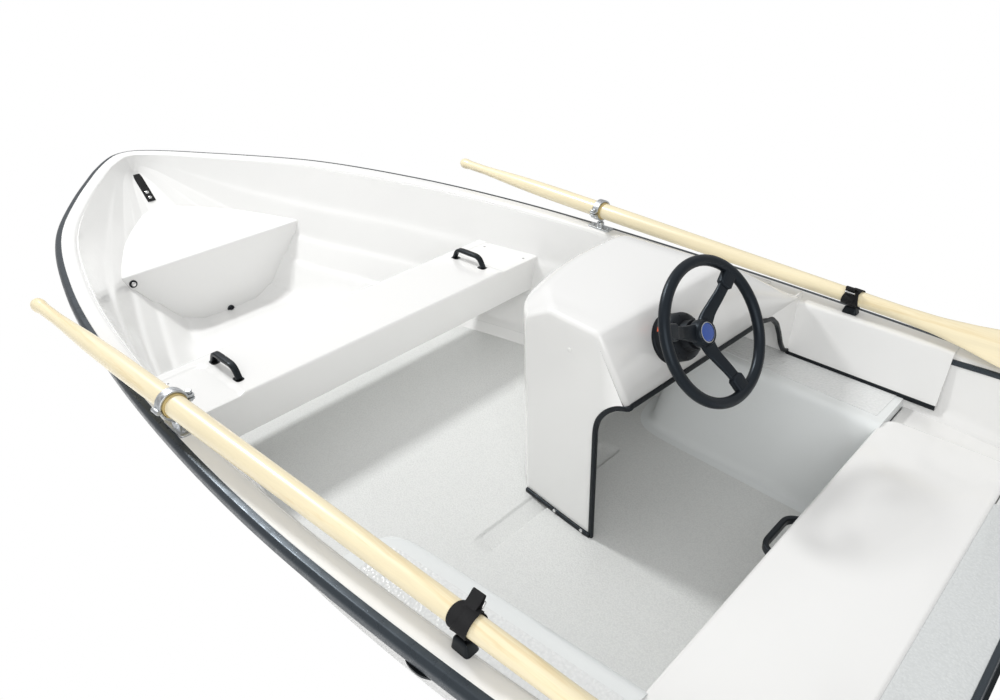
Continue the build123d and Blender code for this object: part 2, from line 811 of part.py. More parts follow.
with BuildPart(wheel_plane) as cap:
    with Locations((0, 0, hub_depth / 2 - wheel_dish)):
        Cylinder(cap_radius, cap_thick, align=upward)
save(cap.part, "wheel_hub_cap")


def on_gunwale(side, x, distance, width, length, lift, height):
    """A block on the gunwale's sloping top, between two heights above it."""
    aft, ahead = distance - length / 2, distance + length / 2
    with BuildPart() as block:
        with BuildSketch(Plane.YZ.offset(side * x)):
            Polygon(
                (fore(aft), sheer_at(aft) + lift),
                (fore(ahead), sheer_at(ahead) + lift),
                (fore(ahead), sheer_at(ahead) + height),
                (fore(aft), sheer_at(aft) + height),
                align=None,
            )
        extrude(amount=width / 2, both=True)
    return block.part


# Oars, and on each oar's side its liner, gate, base, rest and strap
lock_sheer = sheer_at(lock_from_transom)
for side_name, side in (("starboard", 1), ("port", -1)):
    toe, dip = math.radians(oar_toe_in), math.radians(oar_dip)
    lean = math.radians(blade_tilt)
    lock = Vector(side * lock_x, fore(lock_from_transom), lock_height)
    along = Vector(side * math.sin(toe) * math.cos(dip), math.cos(toe) * math.cos(dip), math.sin(dip))
    inboard = Vector(-side * math.cos(lean), 0, math.sin(lean))
    inboard = (inboard - along * inboard.dot(along)).normalized()
    level_in = Vector(-side * math.cos(toe), math.sin(toe), 0)
    oar_plane = Plane(lock, x_dir=inboard, z_dir=along)
    lock_plane = Plane(lock, x_dir=level_in, z_dir=along)

    with BuildPart() as oar:
        with BuildSketch(Plane(lock, x_dir=inboard, z_dir=inboard.cross(along))):
            ends = [(0, oar_profile[-1][0]), (0, oar_profile[0][0])]
            Polygon(*[(radius, place) for place, radius in oar_profile], *ends, align=None)
        revolve(axis=Axis(lock, along))
        for place, half, middle, edge in blade_sections:
            with BuildSketch(oar_plane.offset(place)):
                Polygon((half, edge), (0, middle), (-half, edge), (-half, -edge), (0, -middle), (half, -edge), align=None)
        loft(ruled=True)
    save(oar.part, f"oar_{side_name}")

    inner = oar_profile[8][1] + collar_gap
    with BuildPart(lock_plane) as liner:
        Cylinder(inner + collar_wall, collar_width)
        Cylinder(inner, collar_width, mode=Mode.SUBTRACT)
    save(liner.part, f"oarlock_liner_{side_name}")

    ring_inner = inner + collar_wall + collar_gap
    ring_outer = ring_inner + gate_wall
    pin_top = lock_height - ring_inner - gate_wall / 3
    pin_foot = lock_sheer + pin_clearance + 1
    with BuildPart() as gate:
        with Locations(lock_plane):
            Cylinder(ring_outer, gate_width)
            with Locations((-ring_outer - gate_lug / 2 + 2, 0, 0)):
                Box(gate_lug, gate_lug_height, gate_width)
            Cylinder(ring_inner, 2 * gate_width, mode=Mode.SUBTRACT)
        with Locations((lock.X, lock.Y, pin_foot)):
            Cylinder(pin_radius, pin_top - pin_foot, align=upward)
    save(gate.part, f"oarlock_gate_{side_name}")

    with BuildPart() as base:
        add(on_gunwale(side, lock_x, lock_from_transom, base_width, base_length, 0, base_plate))
        with Locations((lock.X, lock.Y, lock_sheer + base_plate / 2)):
            Cylinder(boss_radius, base_plate / 2 + boss_height, align=upward)
        with Locations((lock.X, lock.Y, pin_foot - pin_clearance)):
            Cylinder(pin_radius + pin_clearance, 2 * boss_height, align=upward, mode=Mode.SUBTRACT)
    save(base.part, f"oarlock_base_{side_name}")

    lift = rest_lift if side_name == "starboard" else 0
    rest = on_gunwale(side, rest_x, rest_from_transom, rest_width, rest_length, lift, rest_height)
    save(rest, f"oar_rest_{side_name}")

    strap_place = (rest_from_transom - lock_from_transom) / math.cos(toe)
    with BuildPart(lock_plane.offset(strap_place)) as strap:
        Cylinder(strap_radius + strap_wall, strap_width)
        with Locations((strap_radius + strap_tab / 2, 0, 0)):
            Box(strap_tab + strap_wall, strap_wall, strap_width)
        Cylinder(strap_radius, 2 * strap_width, mode=Mode.SUBTRACT)
    save(strap.part, f"oar_strap_{side_name}")

    with BuildPart() as grip:
        reach = outline_at(side_grip_aft, 0)[-1][0] + flange_width
        low = sheer_at(side_grip_aft) - rail_below_top - rail_height / 2 - side_grip_height / 2
        with BuildSketch(Plane.XY.offset(low)):
            Polygon(
                (side * reach, fore(side_grip_aft)),
                (side * (reach + rail_proud + side_grip_proud), fore(side_grip_aft + side_grip_proud)),
                (side * (reach + rail_proud + side_grip_proud), fore(side_grip_fore - side_grip_proud)),
                (side * reach, fore(side_grip_fore)),
                align=None,
            )
        extrude(amount=side_grip_height)
        add(plan_prism(flange_width + rail_proud, rail_foot, section_top), mode=Mode.SUBTRACT)
    save(grip.part, f"side_grip_{side_name}")

# Bow strap along the stem inside, and the bow eye outside
stem_places = [strap_low, hull_stations[-2][0], strap_high]
stem_line = [(s, outline_at(s, skin)[0][1]) for s in stem_places]
with BuildPart() as bow_strap:
    top = [(s, z + bow_strap_thick) for s, z in reversed(stem_line)]
    add(side_prism([(s, z - bow_strap_thick) for s, z in stem_line] + top, bow_strap_half))
    add(fitted_hull, mode=Mode.INTERSECT)
save(bow_strap.part, "bow_strap")

(aft_s, aft_keel), (fore_s, fore_keel) = [(s[0], s[2]) for s in hull_stations[-3:-1]]
stem_slope = math.atan2(fore_keel - aft_keel, fore_s - aft_s)
eye_s = aft_s + (eye_height - aft_keel) / math.tan(stem_slope)
stem_out = Vector(0, math.sin(stem_slope), -math.cos(stem_slope))
eye_plane = Plane((0, fore(eye_s), eye_height), x_dir=(1, 0, 0), z_dir=stem_out)
eye_centre = eye_plane.origin + stem_out * eye_lug_reach
with BuildPart() as eye:
    with Locations(eye_plane):
        Box(eye_plate_width, eye_plate_length, 2 * eye_plate)
    with BuildSketch(Plane(eye_plane.origin, x_dir=stem_out, z_dir=(1, 0, 0))):
        with Locations((eye_lug_reach / 2, 0)):
            Rectangle(eye_lug_reach, 2 * eye_lug_radius)
        with Locations((eye_lug_reach, 0)):
            Circle(eye_lug_radius)
            Circle(eye_hole_radius, mode=Mode.SUBTRACT)
    extrude(amount=eye_lug_thick / 2, both=True)
    add(outer_hull, mode=Mode.SUBTRACT)
save(eye.part, "bow_eye")

print("wheel centre", tuple(round(v, 2) for v in wheel_plane.origin), "axis", tuple(round(v, 4) for v in dash_out))
print("eye centre", tuple(round(v, 2) for v in eye_centre), "lock sheer", round(lock_sheer, 2))
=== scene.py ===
import json
import math

import bmesh
import bpy
import numpy as np
from mathutils import Matrix, Vector


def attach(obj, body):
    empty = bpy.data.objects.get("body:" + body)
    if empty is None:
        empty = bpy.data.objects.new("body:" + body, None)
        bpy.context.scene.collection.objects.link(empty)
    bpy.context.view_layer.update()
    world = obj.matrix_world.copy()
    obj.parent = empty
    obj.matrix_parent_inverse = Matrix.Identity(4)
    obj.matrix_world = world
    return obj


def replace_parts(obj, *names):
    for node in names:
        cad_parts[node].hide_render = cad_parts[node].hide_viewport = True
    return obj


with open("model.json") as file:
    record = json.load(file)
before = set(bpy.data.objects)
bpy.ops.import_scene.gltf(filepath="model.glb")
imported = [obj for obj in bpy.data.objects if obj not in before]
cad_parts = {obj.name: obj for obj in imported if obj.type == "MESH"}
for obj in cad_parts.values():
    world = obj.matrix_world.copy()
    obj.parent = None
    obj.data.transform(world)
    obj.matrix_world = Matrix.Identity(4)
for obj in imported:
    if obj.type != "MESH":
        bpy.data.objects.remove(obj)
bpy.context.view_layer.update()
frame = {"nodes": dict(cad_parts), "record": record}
print("frame loaded:", len(frame["nodes"]), "nodes")

# Lengths below are millimetres, and a distance "from the transom" runs forward from the top of its aft face.
transomY = -1716.0


# Smooth curve through table points: a cubic whose slope at each point is the mean slope around it.
def smoothTable(x, xs, ys):
    xs, ys = np.asarray(xs, float), np.asarray(ys, float)
    slope = np.gradient(ys, xs)
    i = np.clip(np.searchsorted(xs, x, side="right") - 1, 0, len(xs) - 2)
    h = xs[i + 1] - xs[i]
    u = np.clip((x - xs[i]) / h, 0, 1)
    a, b = (1 + 2 * u) * (1 - u) ** 2, u * (1 - u) ** 2
    c, d = u * u * (3 - 2 * u), u * u * (u - 1)
    return a * ys[i] + b * h * slope[i] + c * ys[i + 1] + d * h * slope[i + 1]


# 0 below a, 1 above b, with a smooth rise between.
def smoothStep(x, a, b):
    u = np.clip((np.asarray(x, float) - a) / (b - a), 0, 1)
    return u * u * (3 - 2 * u)


# Each inner corner of a path becomes a short parabola that starts and ends at the radius along its two legs.
def roundPath(points, radius, steps=6, closed=False):
    p = np.asarray(points, float)
    r = np.broadcast_to(np.asarray(radius, float), (len(p),))
    before, after = np.roll(p, 1, 0) - p, np.roll(p, -1, 0) - p
    lb = np.linalg.norm(before, axis=1)
    la = np.linalg.norm(after, axis=1)
    rb = np.minimum(r, 0.49 * lb)
    ra = np.minimum(r, 0.49 * la)
    if not closed:
        rb[[0, -1]] = 0
        ra[[0, -1]] = 0
    a = p + before * (rb / np.maximum(lb, 1e-9))[:, None]
    b = p + after * (ra / np.maximum(la, 1e-9))[:, None]
    t = np.linspace(0, 1, steps)[None, :, None]
    out = a[:, None] * (1 - t) ** 2 + 2 * p[:, None] * t * (1 - t) + b[:, None] * t ** 2
    if not closed:
        out = [out[0, :1]] + list(out[1:-1]) + [out[-1, -1:]]
        return np.concatenate(out)
    return out.reshape(-1, p.shape[1])


# Points spaced evenly along a path, by its own length.
def evenPath(points, count):
    p = np.asarray(points, float)
    s = np.r_[0, np.cumsum(np.linalg.norm(np.diff(p, axis=0), axis=1))]
    t = np.linspace(0, s[-1], count)
    return np.stack([np.interp(t, s, p[:, k]) for k in range(p.shape[1])], 1)


# Vectors scaled to length one.
def unit(v):
    v = np.asarray(v, float)
    return v / np.maximum(np.linalg.norm(v, axis=-1, keepdims=True), 1e-12)


# Makes a mesh from quads and triangles in millimetres, welds its seams, turns closed surfaces outward.
def makeMesh(name, verts, faces, material, body="hull", facing=None, sharp=38, weld=0.02, recalc=False):
    verts = np.asarray(verts, float).reshape(-1, 3)
    mesh = bpy.data.meshes.new(name)
    faces = [np.asarray(f, int) for f in faces]
    loops = np.concatenate([f.reshape(-1) for f in faces])
    sizes = np.concatenate([np.full(len(f), f.shape[1]) for f in faces])
    mesh.vertices.add(len(verts))
    mesh.vertices.foreach_set("co", (verts / 1000).reshape(-1))
    mesh.loops.add(len(loops))
    mesh.loops.foreach_set("vertex_index", loops)
    mesh.polygons.add(len(sizes))
    mesh.polygons.foreach_set("loop_start", np.r_[0, np.cumsum(sizes)[:-1]])
    mesh.update(calc_edges=True)
    work = bmeshFrom(mesh, weld)
    if recalc:
        bmesh.ops.recalc_face_normals(work, faces=work.faces)
    if facing is None:
        if work.calc_volume(signed=True) < 0:
            reverse(work)
    else:
        total = sum((f.normal * f.calc_area() for f in work.faces), Vector())
        if total.dot(Vector(facing)) < 0:
            reverse(work)
    work.to_mesh(mesh)
    work.free()
    mesh.validate()
    mesh.polygons.foreach_set("use_smooth", np.ones(len(mesh.polygons), bool))
    mesh.set_sharp_from_angle(angle=math.radians(sharp))
    mesh.materials.append(material)
    obj = bpy.data.objects.new(name, mesh)
    bpy.context.scene.collection.objects.link(obj)
    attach(obj, body)
    return obj


# A working copy of a mesh, its doubles merged and its empty edges taken out.
def bmeshFrom(mesh, weld):
    work = bmesh.new()
    work.from_mesh(mesh)
    bmesh.ops.remove_doubles(work, verts=work.verts, dist=weld / 1000)
    bmesh.ops.dissolve_degenerate(work, edges=work.edges, dist=1e-6)
    return work


def reverse(work):
    bmesh.ops.reverse_faces(work, faces=work.faces)


# Quads between neighbours of an nu by nv grid of points, joined round where it wraps.
def gridQuads(nu, nv, wrapU=False, wrapV=False, start=0):
    u = np.arange(nu if wrapU else nu - 1)[:, None]
    v = np.arange(nv if wrapV else nv - 1)[None, :]
    u1, v1 = (u + 1) % nu, (v + 1) % nv
    quad = np.stack([u * nv + v, u1 * nv + v, u1 * nv + v1, u * nv + v1], -1)
    return quad.reshape(-1, 4) + start


# A grid surface; capU closes its first and last rows with a fan round their middle.
def gridMesh(name, points, material, wrapU=False, wrapV=False, capU=False, **more):
    points = np.asarray(points, float)
    nu, nv = points.shape[:2]
    verts = points.reshape(-1, 3)
    faces = [gridQuads(nu, nv, wrapU, wrapV)]
    if capU:
        verts = np.concatenate([verts, points[0].mean(0)[None], points[-1].mean(0)[None]])
        j = np.arange(nv)
        k = (j + 1) % nv
        faces.append(np.stack([np.full(nv, nu * nv), j, k], 1))
        faces.append(np.stack([np.full(nv, nu * nv + 1), (nu - 1) * nv + k, (nu - 1) * nv + j], 1))
    return makeMesh(name, verts, faces, material, **more)


# A profile carried along a path. At each point its first axis is the path's direction crossed with up, and
# its second axis is square to the first and to the path.
def sweep(name, path, profile, material, up=(0, 0, 1), closed=False, scale=None, **more):
    path = np.asarray(path, float)
    if closed:
        tangent = unit(np.roll(path, -1, 0) - np.roll(path, 1, 0))
    else:
        tangent = unit(np.gradient(path, axis=0))
    upward = np.broadcast_to(np.asarray(up, float), path.shape)
    side = unit(np.cross(tangent, upward))
    over = np.cross(side, tangent)
    profile = np.asarray(profile, float)
    grow = np.ones(len(path)) if scale is None else np.asarray(scale, float)
    points = (path[:, None] + side[:, None] * profile[None, :, :1] * grow[:, None, None]
              + over[:, None] * profile[None, :, 1:] * grow[:, None, None])
    return gridMesh(name, points, material, wrapU=closed, wrapV=True, capU=not closed, **more)


# A profile of (place along the axis, radius) turned round the axis.
def turned(name, profile, origin, axis, material, count=48, **more):
    profile = np.asarray(profile, float)
    axis = unit(axis)
    side = unit(np.cross(axis, [0.31, 0.17, 0.93]))
    third = np.cross(axis, side)
    angle = np.linspace(0, 2 * math.pi, count, endpoint=False)
    ring = side * np.cos(angle)[:, None] + third * np.sin(angle)[:, None]
    points = np.asarray(origin, float) + axis * profile[:, None, :1] + ring[None] * profile[:, None, 1:]
    closed = profile[0, 1] > 0.01
    return gridMesh(name, points, material, wrapV=True, wrapU=closed, **more)


# A closed outline of a rounded rectangle, width by height.
def roundedBox(width, height, radius, steps=5):
    w, h = width / 2, height / 2
    return roundPath([(-w, -h), (w, -h), (w, h), (-w, h)], radius, steps, closed=True)


# Points of a circle, evenly spaced.
def circle(radius, count=16):
    a = np.linspace(0, 2 * math.pi, count, endpoint=False)
    return np.stack([radius * np.cos(a), radius * np.sin(a)], 1)


# Several pieces of one kind joined into one object.
def joined(name, parts):
    first = parts[0]
    if len(parts) > 1:
        with bpy.context.temp_override(active_object=first, object=first, selected_objects=parts,
                                       selected_editable_objects=parts):
            bpy.ops.object.join()
    first.name = name
    first.data.name = name
    return first


# The same rounding for every row of a grid of corner points, each inner corner with its own reach.
def roundRows(corners, reach, steps=6):
    c = np.asarray(corners, float)
    middle = c[:, 1:-1]
    before, after = c[:, :-2] - middle, c[:, 2:] - middle
    lb = np.maximum(np.linalg.norm(before, axis=-1, keepdims=True), 1e-6)
    la = np.maximum(np.linalg.norm(after, axis=-1, keepdims=True), 1e-6)
    r = np.broadcast_to(np.asarray(reach, float), (c.shape[1] - 2,))[None, :, None]
    a = middle + before * np.minimum(r / lb, 0.48)
    b = middle + after * np.minimum(r / la, 0.48)
    t = np.linspace(0, 1, steps)[:, None]
    soft = a[:, :, None] * (1 - t) ** 2 + 2 * middle[:, :, None] * t * (1 - t) + b[:, :, None] * t ** 2
    return np.concatenate([c[:, :1], soft.reshape(len(c), -1, 3), c[:, -1:]], 1)


# Splits the first leg of every row into shorter ones.
def splitFirst(rows, count):
    t = np.linspace(0, 1, count, endpoint=False)[None, :, None]
    first = rows[:, :1] * (1 - t) + rows[:, 1:2] * t
    return np.concatenate([first, rows[:, 1:]], 1)


# Normals of a grid from the cross product of its two directions, turned to agree with the hint at its middle.
def gridNormals(points, hint):
    du, dv = np.gradient(points, axis=0), np.gradient(points, axis=1)
    n = unit(np.cross(du, dv))
    middle = n[n.shape[0] // 2, n.shape[1] // 2]
    return n if np.dot(middle, hint) > 0 else -n


# A sheet with a thickness: the grid, its copy moved back along the normals, and the rim between them.
def sheetMesh(name, points, thick, material, hint=(0, 0, 1), **more):
    points = np.asarray(points, float)
    back = points - gridNormals(points, hint) * thick
    nu, nv = points.shape[:2]
    total = nu * nv
    ring = np.r_[np.arange(nv), np.arange(1, nu) * nv + nv - 1, (nu - 1) * nv + np.arange(nv - 2, -1, -1),
                 np.arange(nu - 2, 0, -1) * nv]
    nextRing = np.roll(ring, -1)
    rim = np.stack([nextRing, ring, ring + total, nextRing + total], 1)
    faces = [gridQuads(nu, nv), gridQuads(nu, nv, start=total)[:, ::-1], rim]
    verts = np.concatenate([points.reshape(-1, 3), back.reshape(-1, 3)])
    return makeMesh(name, verts, faces, material, **more)


# A plate from an outline in its own plane: rings of (inset, height) from the lower edge up and in, each end
# closed with a fan.
def plate(name, outline, rings, origin, xAxis, yAxis, material, **more):
    outline = np.asarray(outline, float)
    t = unit(np.roll(outline, -1, 0) - np.roll(outline, 1, 0))
    inward = np.stack([-t[:, 1], t[:, 0]], 1)
    area = np.sum(outline[:, 0] * np.roll(outline[:, 1], -1) - np.roll(outline[:, 0], -1) * outline[:, 1])
    inward = inward if area > 0 else -inward
    xAxis, yAxis = unit(xAxis), unit(yAxis)
    zAxis = np.cross(xAxis, yAxis)
    rings = np.asarray(rings, float)
    flat = outline[None] + inward[None] * rings[:, :1, None]
    points = np.asarray(origin, float) + flat[..., :1] * xAxis + flat[..., 1:] * yAxis
    points = points + rings[:, 1:, None] * zAxis
    return gridMesh(name, points, material, wrapV=True, capU=True, **more)


# Rings of a plate with a rounded upper edge.
def softRings(thick, radius, steps=5):
    a = np.linspace(0, math.pi / 2, steps)
    return [(0, 0)] + [(radius * (1 - math.cos(k)), thick - radius + radius * math.sin(k)) for k in a]


# Small raised screw or rivet heads, one for each place, all in one object.
def heads(name, places, axis, radius, height, material, body="hull", count=14):
    sunk = 0.6
    profile = [(-sunk, 0), (-sunk, radius), (height * 0.35, radius), (height * 0.85, radius * 0.66),
               (height, 0)]
    axes = np.broadcast_to(np.asarray(axis, float), (len(places), 3))
    made = [turned(f"{name}{k}", profile, spot, direction, material, count, body=body)
            for k, (spot, direction) in enumerate(zip(places, axes))]
    return joined(name, made)


# Materials: each is one Principled shader whose colour, roughness or bump reads Object coordinates.
def newMaterial(name, colour, roughness, coat=0.0, metallic=0.0, coatRoughness=0.05, specular=0.5):
    material = bpy.data.materials.new(name)
    material.use_nodes = True
    tree = material.node_tree
    shader = tree.nodes["Principled BSDF"]
    shader.inputs["Base Color"].default_value = (*colour, 1)
    shader.inputs["Roughness"].default_value = roughness
    shader.inputs["Metallic"].default_value = metallic
    shader.inputs["Specular IOR Level"].default_value = specular
    shader.inputs["Coat Weight"].default_value = coat
    shader.inputs["Coat Roughness"].default_value = coatRoughness
    material.diffuse_color = (*colour, 1)
    return material, tree, shader


# Object coordinates through a Mapping node, in metres.
def objectPlace(tree, scale=(1, 1, 1)):
    place = tree.nodes.new("ShaderNodeTexCoord")
    mapping = tree.nodes.new("ShaderNodeMapping")
    mapping.inputs["Scale"].default_value = scale
    tree.links.new(place.outputs["Object"], mapping.inputs["Vector"])
    return mapping.outputs["Vector"]


def addNoise(tree, vector, scale, detail=3.0, rough=0.5, distortion=0.0):
    noise = tree.nodes.new("ShaderNodeTexNoise")
    noise.inputs["Scale"].default_value = scale
    noise.inputs["Detail"].default_value = detail
    noise.inputs["Roughness"].default_value = rough
    noise.inputs["Distortion"].default_value = distortion
    tree.links.new(vector, noise.inputs["Vector"])
    return noise.outputs["Fac"]


# A colour for each value, blended between stops of (value, colour).
def addRamp(tree, factor, stops):
    ramp = tree.nodes.new("ShaderNodeValToRGB")
    elements = ramp.color_ramp.elements
    while len(elements) < len(stops):
        elements.new(0.5)
    for element, (place, colour) in zip(elements, stops):
        element.position = place
        element.color = (*colour, 1)
    tree.links.new(factor, ramp.inputs["Fac"])
    return ramp.outputs["Color"]


# A bump on the shader's normal, over the bump made before it where one is given.
def addBump(tree, shader, height, distance, strength=1.0, after=None):
    bump = tree.nodes.new("ShaderNodeBump")
    bump.inputs["Distance"].default_value = distance
    bump.inputs["Strength"].default_value = strength
    tree.links.new(height, bump.inputs["Height"])
    if after is not None:
        tree.links.new(after, bump.inputs["Normal"])
    tree.links.new(bump.outputs["Normal"], shader.inputs["Normal"])
    return bump.outputs["Normal"]


# A value stretched from one range to another.
def toRange(tree, value, low, high, fromLow=0.0, fromHigh=1.0):
    node = tree.nodes.new("ShaderNodeMapRange")
    node.inputs["From Min"].default_value = fromLow
    node.inputs["From Max"].default_value = fromHigh
    node.inputs["To Min"].default_value = low
    node.inputs["To Max"].default_value = high
    tree.links.new(value, node.inputs["Value"])
    return node.outputs["Result"]


# Glossy moulded white: a faint waviness and slightly uneven gloss.
def gelcoat(name, colour, roughness=0.22):
    material, tree, shader = newMaterial(name, colour, roughness, coat=0.5, coatRoughness=0.08)
    place = objectPlace(tree)
    wave = addNoise(tree, place, 7.0, 1.0)
    addBump(tree, shader, wave, 0.0006, 0.5)
    cloud = addNoise(tree, place, 60.0, 4.0)
    gloss = toRange(tree, cloud, roughness * 0.95, roughness * 1.12, 0.3, 0.7)
    tree.links.new(gloss, shader.inputs["Roughness"])
    return material


# Moulded non-slip: small rounded grains over a soft grey.
def nonSlip(name, dark, light, roughness=0.42, depth=1.0, size=260.0):
    material, tree, shader = newMaterial(name, light, roughness, coat=0.15, coatRoughness=0.25)
    place = objectPlace(tree)
    grain = tree.nodes.new("ShaderNodeTexVoronoi")
    grain.feature = "SMOOTH_F1"
    grain.inputs["Scale"].default_value = size
    grain.inputs["Smoothness"].default_value = 0.6
    tree.links.new(place, grain.inputs["Vector"])
    ripple = addNoise(tree, place, size * 0.45, 3.0)
    first = addBump(tree, shader, grain.outputs["Distance"], 0.0012 * depth, 0.55)
    addBump(tree, shader, ripple, 0.0008 * depth, 0.5, after=first)
    tone = addRamp(tree, grain.outputs["Distance"], [(0.1, light), (0.75, dark)])
    tree.links.new(tone, shader.inputs["Base Color"])
    return material


# Black rubber or plastic with a fine grain, and a painted blue tint in its reflections.
def blackPlastic(name, colour, roughness, grainScale=900.0, grainDepth=0.00015, specular=0.3):
    material, tree, shader = newMaterial(name, colour, roughness, specular=specular)
    # Painted reflection: the specular tint colours every highlight blue, as if blue surroundings were
    # mirrored in the black.
    shader.inputs["Specular Tint"].default_value = (0.72, 0.86, 1, 1)
    place = objectPlace(tree)
    grain = addNoise(tree, place, grainScale, 2.0)
    addBump(tree, shader, grain, grainDepth, 0.6)
    wear = addNoise(tree, place, 40.0, 4.0)
    gloss = toRange(tree, wear, roughness * 0.8, roughness * 1.25, 0.3, 0.7)
    tree.links.new(gloss, shader.inputs["Roughness"])
    return material


# Zinc-coated steel: dull with cloudy spots.
def galvanised(name, colour, roughness):
    material, tree, shader = newMaterial(name, colour, roughness, metallic=1.0)
    place = objectPlace(tree)
    cloud = addNoise(tree, place, 160.0, 5.0, 0.6)
    dark = tuple(c * 0.72 for c in colour)
    tree.links.new(addRamp(tree, cloud, [(0.35, dark), (0.62, colour)]), shader.inputs["Base Color"])
    gloss = toRange(tree, cloud, roughness * 0.7, roughness * 1.5, 0.3, 0.7)
    tree.links.new(gloss, shader.inputs["Roughness"])
    addBump(tree, shader, cloud, 0.0004, 0.4)
    return material


# Varnished light wood: fibres drawn out along the piece's own length, with wider bands.
def varnishedWood(name, pale, deep):
    material, tree, shader = newMaterial(name, pale, 0.34, coat=0.45, coatRoughness=0.12)
    place = objectPlace(tree, (1, 0.035, 1))
    bands = addNoise(tree, place, 42.0, 3.0, 0.5, 0.6)
    fibres = addNoise(tree, place, 420.0, 2.0, 0.6)
    mix = tree.nodes.new("ShaderNodeMath")
    mix.operation = "MULTIPLY_ADD"
    mix.inputs[1].default_value = 0.35
    tree.links.new(fibres, mix.inputs[0])
    tree.links.new(bands, mix.inputs[2])
    late = tuple(0.93 * c for c in pale)
    tone = addRamp(tree, mix.outputs[0], [(0.42, deep), (0.62, pale), (0.86, late)])
    tree.links.new(tone, shader.inputs["Base Color"])
    addBump(tree, shader, fibres, 0.0002, 0.4)
    return material


# Woven strap: a fine check of ribs.
def webbing(name, colour):
    material, tree, shader = newMaterial(name, colour, 0.62, specular=0.2)
    place = objectPlace(tree)
    wave = tree.nodes.new("ShaderNodeTexWave")
    wave.inputs["Scale"].default_value = 260.0
    wave.bands_direction = "DIAGONAL"
    tree.links.new(place, wave.inputs["Vector"])
    addBump(tree, shader, wave.outputs["Fac"], 0.0004, 0.8)
    return material


white = gelcoat("gelcoatWhite", (0.83, 0.83, 0.82))
floorGrey = nonSlip("floorGrey", (0.645, 0.655, 0.645), (0.715, 0.725, 0.71))
deckGrey = nonSlip("deckGrey", (0.60, 0.62, 0.62), (0.65, 0.67, 0.67), size=200.0)
boxGrey = gelcoat("boxGrey", (0.76, 0.785, 0.785), 0.3)
padWhite = nonSlip("padWhite", (0.72, 0.735, 0.735), (0.78, 0.79, 0.79), 0.24, 1.9, 150.0)
railBlack = blackPlastic("railBlack", (0.026, 0.031, 0.036), 0.3, 900.0, 0.00006, 0.5)
trimBlack = blackPlastic("trimBlack", (0.007, 0.0075, 0.008), 0.38)
gripBlack = blackPlastic("gripBlack", (0.007, 0.009, 0.012), 0.36, 700.0, 0.0002)
helmBlack = blackPlastic("helmBlack", (0.009, 0.009, 0.010), 0.46, 500.0, 0.0003)
zinc = galvanised("zinc", (0.62, 0.64, 0.66), 0.36)
chrome = galvanised("chrome", (0.78, 0.78, 0.78), 0.16)
linerYellow = gelcoat("linerYellow", (0.55, 0.42, 0.17), 0.5)
wood = varnishedWood("oarWood", (0.87, 0.77, 0.53), (0.78, 0.64, 0.38))
strapBlack = webbing("strapBlack", (0.012, 0.012, 0.013))
capBlue = gelcoat("capBlue", (0.02, 0.07, 0.32), 0.12)
markOrange = gelcoat("markOrange", (0.75, 0.10, 0.02), 0.4)
plateGrey = gelcoat("plateGrey", (0.55, 0.58, 0.60), 0.4)

cadMaterials = {
    "gelcoat_white": white, "nonslip_grey": floorGrey, "rail_black": railBlack, "trim_black": trimBlack,
    "cap_blue": capBlue, "strap_black": strapBlack, "galvanised": zinc, "liner_yellow": linerYellow,
    "varnished_wood": wood,
}
for part in frame["record"]["subparts"]:
    node = frame["nodes"][part["node"]]
    node.data.materials.clear()
    node.data.materials.append(cadMaterials[part["material_slot"]])
print("materials made")

# Hull lines: rows of distance from the transom, half breadth at the sheer, keel height and fullness.
hullLines = {
    "rows": [
        (-60, 662, 26, 1.0), (540, 723, 17, 1.0), (1210, 753, 15, 1.0), (1900, 710, 18, 0.8),
        (2400, 628, 30, 0.45), (2859, 490, 72, 0.0), (3149, 332, 214, 0.0), (3327, 213, 361, 0.0),
        (3442, 127, 477, 0.0), (3534, 38, 566, 0.0), (3547, 21, 580, 0.0), (3552, 0, 590, 0.0),
    ],
    "sheer": [(-60, 564), (540, 564), (1210, 569), (1900, 587), (2859, 607), (3327, 622), (3700, 645)],
    # Share of half breadth and height in the full section, the same in the fine one, and the land's angle.
    # A land is the step between two planks: its size, and the half breadths where it starts and is whole.
    "planks": [
        (0.36, 0.04, 0.22, 0.03, -78), (0.66, 0.12, 0.41, 0.12, -62), (0.84, 0.27, 0.60, 0.32, -40),
        (0.915, 0.46, 0.74, 0.47, -18), (0.96, 0.70, 0.86, 0.70, -8),
    ],
    "land": 8.0,
    "landOutside": (0.0, 200.0),
    "landInside": (150.0, 480.0),
    "skin": 10.0,
    "outsideRound": 3.0,
    "insideCuts": 12,
    "insideEasing": 2,
    "floorBlend": 16.0,
    "floorStart": (1950.0, 1990.0),
    # The gunwale's section: how far out from the sheer and how high over it.
    "gunwale": [(0, -10), (36, -10), (36, -1.5), (34.5, 0), (12, 0), (2, -0.6), (-4, -3), (-8, -8),
                (-10, -15)],
    # Insets at which the pieces inside end, a small gap in from the skin.
    "floorInset": 10.6, "boxInset": 10.5, "seatInset": 10.4,
    # The inside's nose: the distances where it starts and where the stem is, and how far it reaches.
    "nose": (3440.0, 3552.0, 84.0),
    "rake": 8.0,
    "transomTop": 564.0,
    "rakeFade": 700.0,
    "rowsAlong": 300,
}
floorPan = {
    "height": 142.0, "aft": 431.0, "fore": 2858.0, "cove": 26.0, "thick": 13.0,
    "groove": (1046.0, 1104.0), "grooveEnd": 278.0, "grooveDepth": 13.0, "foreDip": (2560.0, 2850.0, 46.0),
    "hidden": (1950.0, 1985.0, 6.0),
}


# The rows' curve by its own length, dense: distance, half breadth, keel height, fullness at each point.
def denseLines():
    rows = np.array(hullLines["rows"], float)
    t = np.r_[0, np.cumsum(np.linalg.norm(np.diff(rows[:, :3], axis=0), axis=1))]
    dense = np.linspace(0, t[-1], 1500)
    return np.stack([smoothTable(dense, t, rows[:, k]) for k in range(4)], 1)


